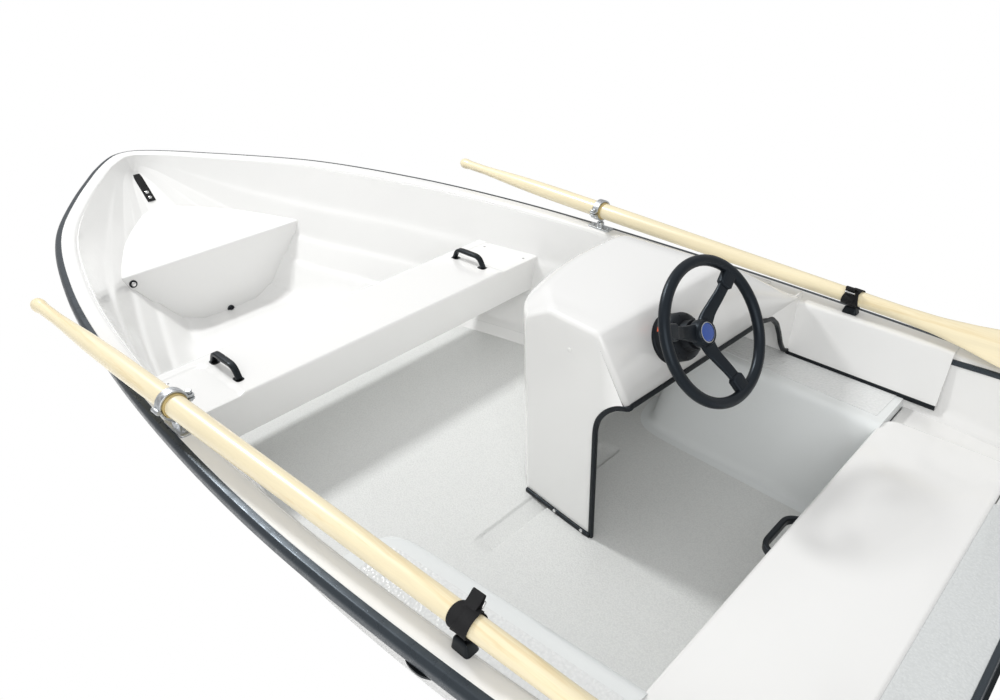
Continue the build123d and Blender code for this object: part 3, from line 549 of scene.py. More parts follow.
lines = denseLines()
lines[:, 1] = np.maximum(lines[:, 1], 0)


# The hull's lines at a distance: 1 is the half breadth, 2 the keel's height, 3 the fullness.
def lineAt(s, k):
    return np.interp(s, lines[:, 0], lines[:, k])


# Height of the sheer, the gunwale's line, at a distance.
def sheerAt(s):
    table = np.array(hullLines["sheer"], float)
    return smoothTable(s, table[:, 0], table[:, 1])


# How far the rows near the transom move forward, so that they slope down and forward with its aft face.
def rakeShift(s, z):
    d = hullLines
    aft = d["rows"][0][0]
    slope = math.tan(math.radians(d["rake"]))
    return ((d["transomTop"] - z) * slope - aft) * (1 - smoothStep(s, aft, d["rakeFade"]))


# Corners of the starboard half section at each distance, keel first; the last array axis is x, z.
def sectionCorners(s, half, keel, full, inset):
    sheer = sheerAt(s)
    start, end = hullLines["landInside" if inset > 5 else "landOutside"]
    land = hullLines["land"] * np.clip((half - start) / (end - start), 0, 1)
    out = [np.stack([np.zeros_like(half), keel + inset], -1)]
    for wideFull, highFull, wideFine, highFine, angle in hullLines["planks"]:
        x = half * (wideFull * full + wideFine * (1 - full))
        z = keel + (sheer - keel) * (highFull * full + highFine * (1 - full))
        a = math.radians(angle)
        for reach in (-inset, land - inset):
            out.append(np.stack([x + reach * math.cos(a), z + reach * math.sin(a)], -1))
    out.append(np.stack([half - inset, sheer], -1))
    corners = np.stack(out, -2)
    corners[..., 0] = np.maximum(corners[..., 0], 0)
    return corners


# Half breadth of the hull's surface, moved inward by inset, at a distance and height.
def hullX(s, z, inset):
    s, z = np.broadcast_arrays(np.asarray(s, float), np.asarray(z, float))
    corners = sectionCorners(s, lineAt(s, 1), lineAt(s, 2), lineAt(s, 3), inset)
    x = np.zeros_like(z)
    for k in range(corners.shape[-2] - 1):
        xa, za = corners[..., k, 0], corners[..., k, 1]
        xb, zb = corners[..., k + 1, 0], corners[..., k + 1, 1]
        share = np.clip((z - za) / np.where(np.abs(zb - za) < 1e-6, 1e-6, zb - za), 0, 1)
        x = np.where((z >= za) & (zb > za), xa + (xb - xa) * share, x)
    return x


# Points from x, the distance from the transom and the height.
def place(x, s, z):
    x, s, z = np.broadcast_arrays(np.asarray(x, float), np.asarray(s, float), np.asarray(z, float))
    return np.stack([x, s + transomY, z], -1)


# Each corner of the section becomes a short parabola of five points.
def softSection(corners, reach):
    before = corners[..., :-2, :] - corners[..., 1:-1, :]
    after = corners[..., 2:, :] - corners[..., 1:-1, :]
    middle = corners[..., 1:-1, :]
    lb = np.linalg.norm(before, axis=-1, keepdims=True)
    la = np.linalg.norm(after, axis=-1, keepdims=True)
    a = middle + before * np.minimum(reach / np.maximum(lb, 1e-6), 0.45)
    b = middle + after * np.minimum(reach / np.maximum(la, 1e-6), 0.45)
    steps = (0, 0.25, 0.5, 0.75, 1)
    soft = np.stack([a * (1 - t) ** 2 + 2 * middle * t * (1 - t) + b * t * t for t in steps], -2)
    soft = soft.reshape(*soft.shape[:-3], -1, 2)
    return np.concatenate([corners[..., :1, :], soft, corners[..., -1:, :]], -2)


# The inside's section: planks cut in short pieces, then each point moved halfway to its neighbours' mean.
def easedSection(corners, cuts, times):
    pieces = []
    for k in range(corners.shape[-2] - 1):
        t = np.linspace(0, 1, cuts if k % 2 == 0 else 1, endpoint=False)[:, None]
        pieces.append(corners[..., k:k + 1, :] * (1 - t) + corners[..., k + 1:k + 2, :] * t)
    rows = np.concatenate(pieces + [corners[..., -1:, :]], -2)
    for _ in range(times):
        rows[..., 1:-1, :] = 0.25 * rows[..., :-2, :] + 0.5 * rows[..., 1:-1, :] + 0.25 * rows[..., 2:, :]
    return rows


# Height of the cockpit's floor: level, with a soft dip towards the bow seat.
def floorHeight(s):
    aft, fore, deep = floorPan["foreDip"]
    return floorPan["height"] - deep * smoothStep(s, aft, fore)


# The hull's skin and gunwale as one closed section carried from the transom to the stem.
def hullSkin():
    t = np.linspace(0, 1, hullLines["rowsAlong"])
    t = t - 0.12 * np.sin(2 * math.pi * t) / (2 * math.pi)
    total = len(lines) - 1
    index = t * total
    row = np.stack([np.interp(index, np.arange(total + 1), lines[:, k]) for k in range(4)], 1)
    s, half, keel, full = row.T
    near = np.gradient(lines[:, 0]), np.gradient(lines[:, 1])
    tangent = unit(np.stack([np.interp(index, np.arange(total + 1), n) for n in near], 1))
    normalX, normalS = tangent[:, 0], -tangent[:, 1]
    skin = hullLines["skin"]
    outer = softSection(sectionCorners(s, half, keel, full, 0.0), hullLines["outsideRound"])
    # Inside, the last rows turn round into a nose a wall's width aft of the stem.
    start, stem, reach = hullLines["nose"]
    turn = np.clip((s - start) / (stem - start), 0, 1) * math.pi / 2
    sIn = np.where(s < start, s, start + reach * np.sin(turn))
    halfIn, keelIn, fullIn = lineAt(sIn, 1), lineAt(sIn, 2), lineAt(sIn, 3)
    inner = easedSection(sectionCorners(sIn, halfIn, keelIn, fullIn, skin), hullLines["insideCuts"],
                         hullLines["insideEasing"])
    # Fore of the thwart the skin itself is the floor: its height runs softly into the planks.
    soft, level = hullLines["floorBlend"], floorHeight(sIn)[:, None]
    raised = np.logaddexp(inner[..., 1] / soft, level / soft) * soft
    inner[..., 1] += (raised - inner[..., 1]) * smoothStep(s, *hullLines["floorStart"])[:, None]
    inner[..., 0] *= np.cos(turn)[:, None] ** 0.6
    sheer = sheerAt(s)
    offsets = np.array(hullLines["gunwale"], float)
    keepOuter = outer[:, :-1]
    keepInner = inner[:, :-1]
    flangeX = np.maximum(half[:, None] + offsets[None, :, 0] * normalX[:, None], 0)
    flangeS = s[:, None] + offsets[None, :, 0] * normalS[:, None]
    flangeZ = np.broadcast_to(sheer[:, None] + offsets[None, :, 1], flangeX.shape)
    flangeX[-1] = 0
    x = np.concatenate([keepOuter[..., 0], flangeX, keepInner[:, ::-1, 0]], 1)
    y = np.concatenate([np.broadcast_to(s[:, None], keepOuter.shape[:2]), flangeS,
                        np.broadcast_to(sIn[:, None], keepInner.shape[:2])], 1)
    z = np.concatenate([keepOuter[..., 1], flangeZ, keepInner[:, ::-1, 1]], 1)
    y = y + rakeShift(s[:, None], z)
    ring = place(x, y, z)
    mirrored = ring[:, ::-1] * np.array([-1, 1, 1.0])
    loop = np.concatenate([ring, mirrored[:, 1:-1]], 1)
    n = ring.shape[1]
    m = loop.shape[1]
    faces = [gridQuads(loop.shape[0], m, wrapV=True)]
    # The cut edge at the transom joins each outer point to its inner one.
    j = np.arange(n // 2)
    for sideIndex in (lambda i: i, lambda i: (2 * n - 2 - i) % m):
        a, b = sideIndex(j), sideIndex(j + 1)
        c, d = sideIndex(n - 2 - j), sideIndex(n - 1 - j)
        faces.append(np.stack([a, b, c, d], 1))
    return makeMesh("hullSkin", loop.reshape(-1, 3), faces, white, sharp=30, weld=0.05)


# Keel and runners under the hull: x, half width, and the distances from the transom to where each starts,
# turns up and ends.
bottomBars = {
    "keel": (0.0, 32.0, 92.0, 2050.0, 2400.0),
    "runner": (372.0, 22.0, 102.0, 1600.0, 1895.0),
    "round": 5.0,
}


# Height of the hull's outside at x, for each distance: the section's corners joined by straight lines.
def skinZ(s, x):
    corners = sectionCorners(s, lineAt(s, 1), lineAt(s, 2), lineAt(s, 3), 0.0)
    return np.array([np.interp(x, row[:, 0], row[:, 1]) for row in corners])


# A bar under the hull: its top lies inside the skin, and its level foot rises smoothly to the skin between
# the distances turn and fore.
def makeBar(name, x, half, aft, turn, fore):
    s = np.linspace(aft, fore, 120)
    root = skinZ(s, abs(x)) + 4
    low = np.maximum(0.0, (root - 10) * smoothStep(s, turn, fore))
    r = bottomBars["round"]
    corners = np.stack([np.stack([np.full(120, x + side), s, z], 1)
                        for side, z in ((-half, root), (-half, low), (half, low), (half, root))], 1)
    rows = roundRows(corners, [r, r], 5) + np.array([0, transomY, 0])
    return gridMesh(name, rows, white, wrapV=True, capU=True)


def makeBars():
    parts = [makeBar("keel", *bottomBars["keel"])]
    for side in (1, -1):
        x, *sizes = bottomBars["runner"]
        parts.append(makeBar("runner", side * x, *sizes))
    return parts


skinObject = joined("hullSkin", [hullSkin()] + makeBars())
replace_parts(skinObject, "hull_shell", "gunwale")
print("hull skin made")

# Plan of the gunwale from the port corner round the bow to the starboard corner, moved out and down.
def gunwaleRows(offsets, count=420):
    s, half = lines[:, 0], lines[:, 1]
    tangent = unit(np.stack([np.gradient(s), np.gradient(half)], 1))
    curve = evenPath(np.stack([s, half, tangent[:, 0], -tangent[:, 1]], 1), count)
    s, half, nx, ns = curve.T
    offsets = np.asarray(offsets, float)
    x = half[:, None] + offsets[None, :, 0] * nx[:, None]
    along = s[:, None] + offsets[None, :, 0] * ns[:, None]
    z = sheerAt(s)[:, None] + offsets[None, :, 1]
    x[-1] = 0
    rows = place(np.maximum(x, 0), along + rakeShift(s[:, None], z), z)
    return np.concatenate([rows * np.array([-1, 1, 1.0]), rows[-2::-1]], 0)


rail = {"inner": 36.0, "proud": 22.0, "top": -1.0, "low": -41.0, "round": 4.0}


# The rub rail's six-sided profile, its corners rounded, carried round the gunwale.
def makeRail():
    i, o, t, b = rail["inner"], rail["inner"] + rail["proud"], rail["top"], rail["low"]
    r = rail["round"]
    outline = [(i, t), (o - 7, t), (o, t - 9), (o, b + 13), (o - 6, b + 1), (i, b)]
    profile = roundPath(outline, [0, r, r, r, r, 0], 5)
    rows = gunwaleRows(profile)
    return gridMesh("rubRail", rows, railBlack, wrapV=True, capU=True, sharp=50)


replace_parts(makeRail(), "rub_rail")


# Cockpit floor with a cove along the hull's side; its fore part lies under the skin. The groove across it has
# a step at each edge and is deepest at its aft one.
def makeFloor():
    d = floorPan
    g0, g1 = d["groove"]
    s = np.r_[np.linspace(d["aft"], g0 - 10, 40), np.linspace(g0 - 8, g1 + 8, 24),
              np.linspace(g1 + 12, d["fore"], 110)]
    under = smoothStep(s, d["hidden"][0], d["hidden"][1])
    base = floorHeight(s) - d["hidden"][2] * under
    cove = d["cove"] - (d["cove"] - 3) * under
    wide = hullX(s, base + cove, hullLines["floorInset"])
    across = np.linspace(-1, 1, 121)
    across = np.sign(across) * (1 - (1 - np.abs(across)) ** 1.6)
    x = across[None, :] * wide[:, None]
    near = np.clip(1 - (wide[:, None] - np.abs(x)) / cove[:, None], 0, 1)
    rise = cove[:, None] * (1 - np.sqrt(np.maximum(0, 1 - near ** 2)))
    slope = 1 - 0.6 * np.clip((s - g0) / (g1 - g0), 0, 1)
    dip = slope * smoothStep(s, g0 - 3, g0 + 3) * (1 - smoothStep(s, g1 - 3, g1 + 3))
    dip = dip[:, None] * (1 - smoothStep(np.abs(x), d["grooveEnd"] - 22, d["grooveEnd"]))
    z = base[:, None] + rise - d["grooveDepth"] * dip
    return sheetMesh("cockpitFloor", place(x, s[:, None], z), d["thick"], floorGrey)


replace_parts(makeFloor(), "cockpit_floor")

# Side boxes: (x, distance) of the top's inner edge and of the foot, turning in to the hull at the fore end,
# and the distances at which the top's rows meet the hull.
sideBox = {
    "top": 410.0, "foot": 142.0, "edge": 24.0, "cove": 30.0, "flange": 34.0, "wall": 5.0, "endFoot": 381.0,
    "border": 40.0, "padAft": 450.0, "padFore": 1010.0, "padInset": 22.0, "padLift": 1.2, "padThick": 1.4,
    "edgeLine": [(496, 432.5), (517, 740), (536, 1000), (545, 1035), (568, 1058), (610, 1072), (668, 1078)],
    "footLine": [(408, 432.5), (424, 740), (437, 1006), (449, 1048), (482, 1074), (540, 1088), (640, 1094)],
    "hullLine": [432.5, 740, 960, 1010, 1030, 1040, 1046],
}


# Each row runs from the hull over the top, down the inner side and out over the floor, with both bends
# rounded. Every point stays inside the hull.
def makeSideBox(side):
    d = sideBox
    edge = roundPath(d["edgeLine"], 60, 5)
    edge = evenPath(edge, 90)
    foot = evenPath(roundPath(d["footLine"], 60, 5), 90)
    back = np.interp(np.linspace(0, 1, 90), np.linspace(0, 1, 7), d["hullLine"])
    back = np.minimum(back, edge[:, 1])
    inset = hullLines["boxInset"]
    hullSide = hullX(back, d["top"], inset)
    edgeX = np.minimum(edge[:, 0], hullX(edge[:, 1], d["top"], inset) - 1)
    footX = np.minimum(foot[:, 0], hullX(foot[:, 1], d["foot"] + 30, inset) - 1)
    one = np.stack([hullSide, back, np.full(90, d["top"])], 1)
    two = np.stack([edgeX, edge[:, 1], np.full(90, d["top"])], 1)
    three = np.stack([footX, foot[:, 1], np.full(90, d["foot"] + 0.4)], 1)
    outward = unit(np.stack([-np.gradient(foot[:, 1]), np.gradient(foot[:, 0]), np.zeros(90)], 1))
    four = three + outward * d["flange"]
    rows = roundRows(np.stack([one, two, three, four], 1), [d["edge"], d["cove"]], 8)
    rows[..., 0] = np.minimum(rows[..., 0], hullX(rows[..., 1], np.maximum(rows[..., 2], 150), inset))
    # The first row turned down closes the box over the seat's lower top.
    end = rows[:1] - [0, 0.6, 0]
    end[..., 2] = np.minimum(end[..., 2], d["endFoot"])
    rows = np.concatenate([end, rows]) * np.array([side, 1, 1.0]) + np.array([0, transomY, 0])
    name = f"sideBox{'Starboard' if side > 0 else 'Port'}"
    return sheetMesh(name, rows, d["wall"], boxGrey, hint=(-side, 0, 0.6))


# Non-slip field on the box's top, a border's width inside its inner edge.
def makeBoxPad(side):
    d = sideBox
    edge = evenPath(roundPath(d["edgeLine"], 60, 5), 90)[:-9]
    along = unit(np.gradient(edge, axis=0))
    inner = edge + np.stack([along[:, 1], -along[:, 0]], 1) * d["border"]
    inner = inner[inner[:, 1] > d["padAft"]]
    back = np.minimum(np.linspace(d["padAft"], d["padFore"], len(inner)), inner[:, 1])
    far = hullX(back, d["top"], d["padInset"])
    keep = far > inner[:, 0] + 4
    u = np.linspace(0, 1, 20)[:, None]
    x = inner[keep, 0] * (1 - u) + far[keep] * u
    s = inner[keep, 1] * (1 - u) + back[keep] * u
    points = place(side * x, s, d["top"] + d["padLift"])
    return sheetMesh(f"boxPad{'Starboard' if side > 0 else 'Port'}", points, d["padThick"], padWhite)


for side, sideName in ((1, "starboard"), (-1, "port")):
    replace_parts(makeSideBox(side), f"side_box_{sideName}")
    makeBoxPad(side)

# Seats whose ends meet the hull, each a side view of (distance, height).
bowSeat = {
    "bulkhead": 2859.0, "height": 383.0, "rise": 0.0769, "edge": 9.0, "foot": 62.0, "fore": 3425.0,
    "wall": 6.0,
}
aftBox = {"front": 432.0, "top": 382.0, "edge": 9.0, "cove": 24.0, "back": 60.0, "flange": 26.0, "wall": 6.0}


# A side view carried across the hull: each point's x is its share of the half breadth at its own distance and
# height.
def acrossHull(profile, shares):
    profile = np.asarray(profile, float)
    s, z = profile.T
    x = np.maximum(hullX(s, z, hullLines["seatInset"]), 0)[:, None] * shares[None, :]
    return place(x, s[:, None], z[:, None])


# The bulkhead stands upright and bends over its edge into the top, which rises a little forward.
def makeBowSeat():
    d = bowSeat
    high = d["height"]
    end = high + (d["fore"] - d["bulkhead"]) * d["rise"]
    path = roundPath([(d["bulkhead"], d["foot"]), (d["bulkhead"], high), (d["fore"], end)], d["edge"], 7)
    aft = np.stack([np.full(90, d["bulkhead"]), np.linspace(d["foot"], path[1, 1], 90, endpoint=False)], 1)
    t = np.linspace(0, 1, 70)[1:, None]
    top = path[-2] * (1 - t) + path[-1] * t
    profile = np.concatenate([aft, path[1:-1], top])
    points = acrossHull(profile, np.linspace(-1, 1, 41))
    return sheetMesh("bowSeat", points, d["wall"], white, hint=(0, -0.5, 1))


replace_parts(makeBowSeat(), "bow_seat")


# From a flange on the floor up through a cove to the front, over the edge and aft along the top.
def makeAftBox():
    d = aftBox
    low = floorPan["height"] + 0.5
    front, top = d["front"], d["top"]
    corners = [(front + d["flange"], low), (front, low), (front, top), (d["back"], top)]
    path = evenPath(roundPath(corners, [0, d["cove"], d["edge"], 0], 7), 160)
    points = acrossHull(path, np.linspace(-1, 1, 31))
    return sheetMesh("aftBox", points, d["wall"], white, hint=(0, 1, 0.5))


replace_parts(makeAftBox(), "aft_seat_box")

lidBoard = {
    "half": 562.0, "aft": 144.0, "fore": 440.0, "corner": 47.6,
    "edge": 10.0, "low": 382.0, "thick": 22.0,
}


# A rounded rectangle with a small chamfer below and a quarter circle above.
def makeLid():
    d = lidBoard
    outline = roundedBox(2 * d["half"], d["fore"] - d["aft"], d["corner"], 9)
    origin = place(0, (d["aft"] + d["fore"]) / 2, d["low"] + 0.3)
    rings = [(3, 0), (0.5, 2)] + softRings(d["thick"], d["edge"], 6)[1:]
    return plate("aftLid", outline, rings, origin, (1, 0, 0), (0, 1, 0), white)


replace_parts(makeLid(), "aft_seat_lid")

# Mid thwart: a rounded box across the hull, the top 4 mm lower towards each end.
thwart = {
    "aft": 1738.0, "fore": 2010.0, "top": 435.0, "deep": 126.0, "edge": 10.0,
    "padFrom": 505.0, "padRim": 38.0, "padStep": 4.0, "padCorner": 34.0,
    "screws": [(625, 1946), (640, 1762)],
}


# The section, a box with rounded edges, is carried across the hull. Its top is then lowered where a point
# lies in the pad at either end.
def makeThwart():
    d = thwart
    low = d["top"] - d["deep"]
    ring = roundPath([(d["aft"], low), (d["aft"], d["top"]), (d["fore"], d["top"]), (d["fore"], low)],
                     [3, d["edge"], d["edge"], 3], 6, closed=True)
    top = ring[:, 1] > d["top"] - 0.01
    first, last = ring[top][0], ring[top][-1]
    between = np.stack([np.linspace(first[0], last[0], 60), np.full(60, d["top"])], 1)
    cut = np.nonzero(top)[0]
    ring = np.concatenate([ring[:cut[0]], between, ring[cut[-1] + 1:]])
    u = np.r_[-np.linspace(1, 0.55, 50), np.linspace(-0.54, 0.54, 16), np.linspace(0.55, 1, 50)]
    points = acrossHull(ring, u)
    x, s = np.abs(points[..., 0]), points[..., 1] - transomY
    # How far inside the lower pad a point is, with the pad's corner rounded.
    r = d["padCorner"]
    dx, ds = x - (d["padFrom"] + r), (d["fore"] - d["padRim"] - r) - s
    corner = np.hypot(np.minimum(dx, 0), np.minimum(ds, 0))
    inside = r - corner
    lower = d["padStep"] * smoothStep(inside, 0, 5)
    onTop = smoothStep(points[..., 2], d["top"] - 6, d["top"] - 1)
    points[..., 2] -= lower * onTop
    obj = gridMesh("midThwart", points.transpose(1, 0, 2), white, wrapV=True, capU=True, sharp=40)
    spots = [place(side * sx, ss, d["top"] - d["padStep"]) for side in (1, -1) for sx, ss in d["screws"]]
    heads("thwartScrews", spots, (0, 0, 1), 5, 2, chrome)
    return obj


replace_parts(makeThwart(), "mid_thwart")

# Grab handles: a flat bar bent up from two feet. Two stand on the thwart and one on the aft seat's front.
handle = {
    "half": 85.0, "height": 44.0, "lean": 30.0, "bar": (20.0, 13.0), "bend": 20.0, "swell": 0.06,
    "foot": (34.0, 26.0, 6.0), "onThwart": (480.0, 1881.0, 435.0), "onSeat": (42.0, 432.0, 360.0),
}


# A flat bar along a path with two rounded bends, a little fuller in its middle, and a plate under each end.
def makeHandle(name, origin, along, up):
    d = handle
    along, up = unit(along), unit(up)
    side = np.cross(along, up)
    width, thick = d["bar"]
    top = d["height"] - thick / 2
    out, bent = d["half"] - 12, d["half"] - d["lean"]
    flat = evenPath(roundPath([(-out, 2), (-bent, top), (bent, top), (out, 2)], d["bend"], 9), 60)
    path = np.asarray(origin, float) + flat[:, :1] * along + flat[:, 1:] * up
    square = np.cross(unit(np.gradient(path, axis=0)), side)
    swell = 1 + d["swell"] * np.cos(np.linspace(-math.pi, math.pi, 60))
    parts = [sweep(name, path, roundedBox(width, thick, 5, 6), trimBlack, up=square, scale=swell)]
    length, width, thick = d["foot"]
    outline = roundedBox(length, width, 11, 6)
    for end in (-1, 1):
        spot = np.asarray(origin, float) + along * end * (d["half"] - length / 2) + up * 0.3
        parts.append(plate("foot", outline, softRings(thick, 3), spot, along, side, trimBlack))
    return joined(name, parts)


for side, sideName in ((1, "starboard"), (-1, "port")):
    x, s, z = handle["onThwart"]
    grab = makeHandle(f"thwartHandle{sideName.title()}", place(side * x, s, z), (0, 1, 0), (0, 0, 1))
    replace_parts(grab, f"thwart_handle_{sideName}")
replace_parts(makeHandle("aftHandle", place(*handle["onSeat"]), (1, 0, 0), (0, 1, 0)), "aft_seat_handle")
print("rail, floor, seats and handles made")

# Console: plan points are x and distance from the transom; the dash leans back and faces a little to port.
# The port wall is two straight lines in plan, with their slopes aft and fore of a soft bend.
console = {
    "portWall": {"x": -66.0, "bend": 889.0, "soft": 25.0, "aft": 0.0212, "fore": 0.1125},
    "front": [(-37, 1129), (22, 1188), (110, 1222), (204, 1241), (330, 1247), (540, 1236), (760, 1195)],
    "corner": (-64.0, 890.2), "foot": 141.0, "top": 746.0,
    "shoulder": (56.0, 50.0), "shoulderRound": 20.0, "shoulderAtPort": (-47.0, 1040.0),
    "shoulderFade": (400.0, 560.0), "cornerReach": 260.0,
    "roof": [(-200, 746), (440, 746), (600, 640), (700, 574), (900, 572)],
    "roofRound": 55.0, "flangeBack": 130.0, "flangeFrom": (684.0, 696.0),
    "yaw": 3.0, "tilt": 30.0, "dashLow": 588.0, "dashEdge": 19.0, "rimRadius": 13.0, "wall": 5.0,
    "portEdge": [(889, 141), (889, 487), (882, 520), (861, 552), (831, 577), (798, 588)],
    "arch": [(500, 588), (548, 574), (582, 545), (606, 506), (626, 465), (650, 432), (690, 413)],
    "archPlane": 798.0, "webReach": 742.0, "inset": 14.0, "webInset": 13.0,
    "panel": [(357, 660, 688, 732), (860, 676, 702, 752)], "panelLow": 413.0, "panelWall": 4.0,
    "trim": (11.0, 13.0), "footTrim": (889.0, 1129.0, 147.0), "footScrews": (915.0, 1014.0),
    "dimple": (976.0, 668.0),
}
yaw, tilt = math.radians(console["yaw"]), math.radians(console["tilt"])
dashAcross = np.array([math.cos(yaw), -math.sin(yaw), 0])
dashDown = np.array([-math.sin(yaw) * math.sin(tilt), -math.cos(yaw) * math.sin(tilt), -math.cos(tilt)])
dashOut = np.array([-math.sin(yaw) * math.cos(tilt), -math.cos(yaw) * math.cos(tilt), math.sin(tilt)])
dashCorner = np.array([*console["corner"], console["top"]])


# X of the console's port wall at a distance: two straight lines with a soft bend.
def portX(s):
    d = console["portWall"]
    u = (np.asarray(s, float) - d["bend"]) / d["soft"]
    return d["x"] + (d["fore"] * np.logaddexp(0, u) + d["aft"] * np.logaddexp(0, -u)) * d["soft"]


# Distance of the dash's plane at x and height.
def dashAt(x, z):
    d = (console["top"] - z) / math.cos(tilt)
    a = (x - dashCorner[0] + d * math.sin(yaw) * math.sin(tilt)) / math.cos(yaw)
    return dashCorner[1] - a * math.sin(yaw) - d * math.cos(yaw) * math.sin(tilt)


# Rows run round the front from the port corner; each goes up the wall, over the shoulder and roof and down
# the dash.
def consoleRows():
    d = console
    front = np.array(d["front"], float)
    length = np.r_[0, np.cumsum(np.linalg.norm(np.diff(front, axis=0), axis=1))]
    l = np.r_[0, 0.6, np.linspace(20, length[-1], 130)]
    o = np.stack([smoothTable(l, length, front[:, k]) for k in (0, 1)], 1)
    t = unit(np.gradient(o, l, axis=0))
    t[:2] = unit(front[1] - front[0])
    inward = np.stack([t[:, 1], -t[:, 0]], 1)
    wide, drop = d["shoulder"]
    keep = 1 - 0.7 * smoothStep(o[:, 0], *d["shoulderFade"])
    inner = o + inward * (wide * keep)[:, None]
    inner[0] = d["shoulderAtPort"]
    roof = roundPath(d["roof"], d["roofRound"], 9)
    roofZ = np.interp(inner[:, 0], roof[:, 0], roof[:, 1])
    near = 1 - smoothStep(inner[:, 0], inner[0, 0], d["cornerReach"])
    dashX = inner[:, 0] + (dashCorner[0] - inner[0, 0]) * near
    dashZ = np.interp(dashX, roof[:, 0], roof[:, 1])
    low = np.minimum(d["dashLow"], dashZ - 1)
    dashS = dashAt(dashX, dashZ) + d["flangeBack"] * smoothStep(dashX, *d["flangeFrom"])
    down = ((dashZ - low) / math.cos(tilt))[:, None]
    n = len(l)
    corners = np.stack([
        np.stack([o[:, 0], o[:, 1], np.full(n, d["foot"])], 1),
        np.stack([o[:, 0], o[:, 1], roofZ - drop * keep], 1),
        np.stack([inner[:, 0], inner[:, 1], roofZ], 1),
        np.stack([dashX, dashS, dashZ], 1),
        np.stack([dashX, dashS, dashZ], 1) + dashDown * down,
    ], 1)
    rows = roundRows(corners, [d["shoulderRound"], d["shoulderRound"], d["dashEdge"]], 8)
    return splitFirst(rows, 24)


# The shell is three grids welded together: the flat port wall, the rows, and between them a rounded rim, an
# arc that starts along the wall's normal and ends along the rows' normal.
def makeConsole():
    d = console
    rows = consoleRows()
    along = np.gradient(rows[0], axis=0)
    surface = unit(np.cross(rows[2] - rows[0], along))
    if surface[rows.shape[1] // 2 + 8, 2] < 0:
        surface = -surface
    edge = rows[0].copy()
    edge[:, 0] = portX(edge[:, 1])
    span = np.linspace(600, 1200, 601)
    lean = np.interp(edge[:, 1], span, np.gradient(portX(span), 1.0))
    port = unit(np.stack([-np.ones(len(edge)), lean, np.zeros(len(edge))], 1))
    r = d["rimRadius"]
    middle = edge - r * (port + surface) / (1 + np.sum(port * surface, 1))[:, None]
    t = np.linspace(0, 1, 8)[:, None, None]
    turn = np.arccos(np.clip(np.sum(port * surface, 1), -1, 1))[None, :, None]
    bend = (np.sin((1 - t) * turn) * port + np.sin(t * turn) * surface) / np.sin(turn)
    strip = middle[None] + r * bend
    rows[0] = strip[-1]
    rows[1] = rows[0] * 0.5 + rows[2] * 0.5
    # The flat port wall lies between the rounded rim and its free aft edge.
    rim = strip[0]
    share = np.r_[0, np.cumsum(np.linalg.norm(np.diff(rim, axis=0), axis=1))]
    share = share / share[-1]
    free = roundPath(d["portEdge"], 16, 5)
    own = np.r_[0, np.cumsum(np.linalg.norm(np.diff(free, axis=0), axis=1))]
    free = np.stack([np.interp(share, own / own[-1], free[:, k]) for k in (0, 1)], 1)
    free = np.stack([portX(free[:, 0]), free[:, 0], free[:, 1]], 1)
    u = np.linspace(0, 1, 14)[:, None, None]
    wall = free[None] * (1 - u) + rim[None] * u
    wall[:, :, 0] = np.where(u[..., 0] < 1, portX(wall[:, :, 1]), wall[:, :, 0])
    z = rows[..., 2]
    s = rows[..., 1]
    below = z < sheerAt(s) - 4
    rows[..., 0] = np.where(below, np.minimum(rows[..., 0], hullX(s, z, d["inset"])), rows[..., 0])
    grids = [wall, strip, rows]
    verts = np.concatenate([g.reshape(-1, 3) for g in grids]) + np.array([0, transomY, 0])
    starts = np.cumsum([0] + [g.shape[0] * g.shape[1] for g in grids[:-1]])
    faces = [gridQuads(g.shape[0], g.shape[1], start=at) for g, at in zip(grids, starts)]
    obj = makeMesh("steeringConsole", verts, faces, white, facing=(-0.5, -0.5, 1), sharp=45, weld=0.08,
                   recalc=True)
    thickenObject(obj, d["wall"])
    return obj


# The wall's thickness goes inwards.
def thickenObject(obj, wall):
    solid = obj.modifiers.new("wall", "SOLIDIFY")
    solid.thickness = wall / 1000
    solid.offset = -1


# Side panel behind the console: low edge, fold at the gunwale's height and flange over it.
def makePanel():
    d = console
    s = np.linspace(d["panel"][0][0], d["panel"][1][0] + 60, 60)
    t = (s - d["panel"][0][0]) / (d["panel"][1][0] - d["panel"][0][0])
    low, fold, flange = (d["panel"][0][k] * (1 - t) + d["panel"][1][k] * t for k in (1, 2, 3))
    top = sheerAt(s) + 5
    corners = np.stack([np.stack([low, s, np.full(60, d["panelLow"])], 1), np.stack([fold, s, top], 1),
                        np.stack([flange, s, top], 1)], 1)
    rows = splitFirst(roundRows(corners, [12], 7), 8) + np.array([0, transomY, 0])
    return sheetMesh("consolePanel", rows, d["panelWall"], white, hint=(-1, 0, 0.5))


# Web between the arch's curve and the hull, from the dash's low corner down to the panel's foot.
def makeWeb():
    d = console
    curve = evenPath(roundPath(d["arch"], 14, 5), 40)
    s = d["archPlane"] + 2 - (curve[:, 0] - dashCorner[0]) * math.sin(yaw)
    outer = np.minimum(hullX(s, curve[:, 1], d["webInset"]), d["webReach"])
    u = np.linspace(0, 1, 8)[None, :]
    x = curve[:, :1] * (1 - u) + np.maximum(outer, curve[:, 0] + 1)[:, None] * u
    points = place(x, s[:, None], curve[:, 1:])
    return sheetMesh("consoleWeb", points, d["wall"], white, hint=(0, -1, 0))


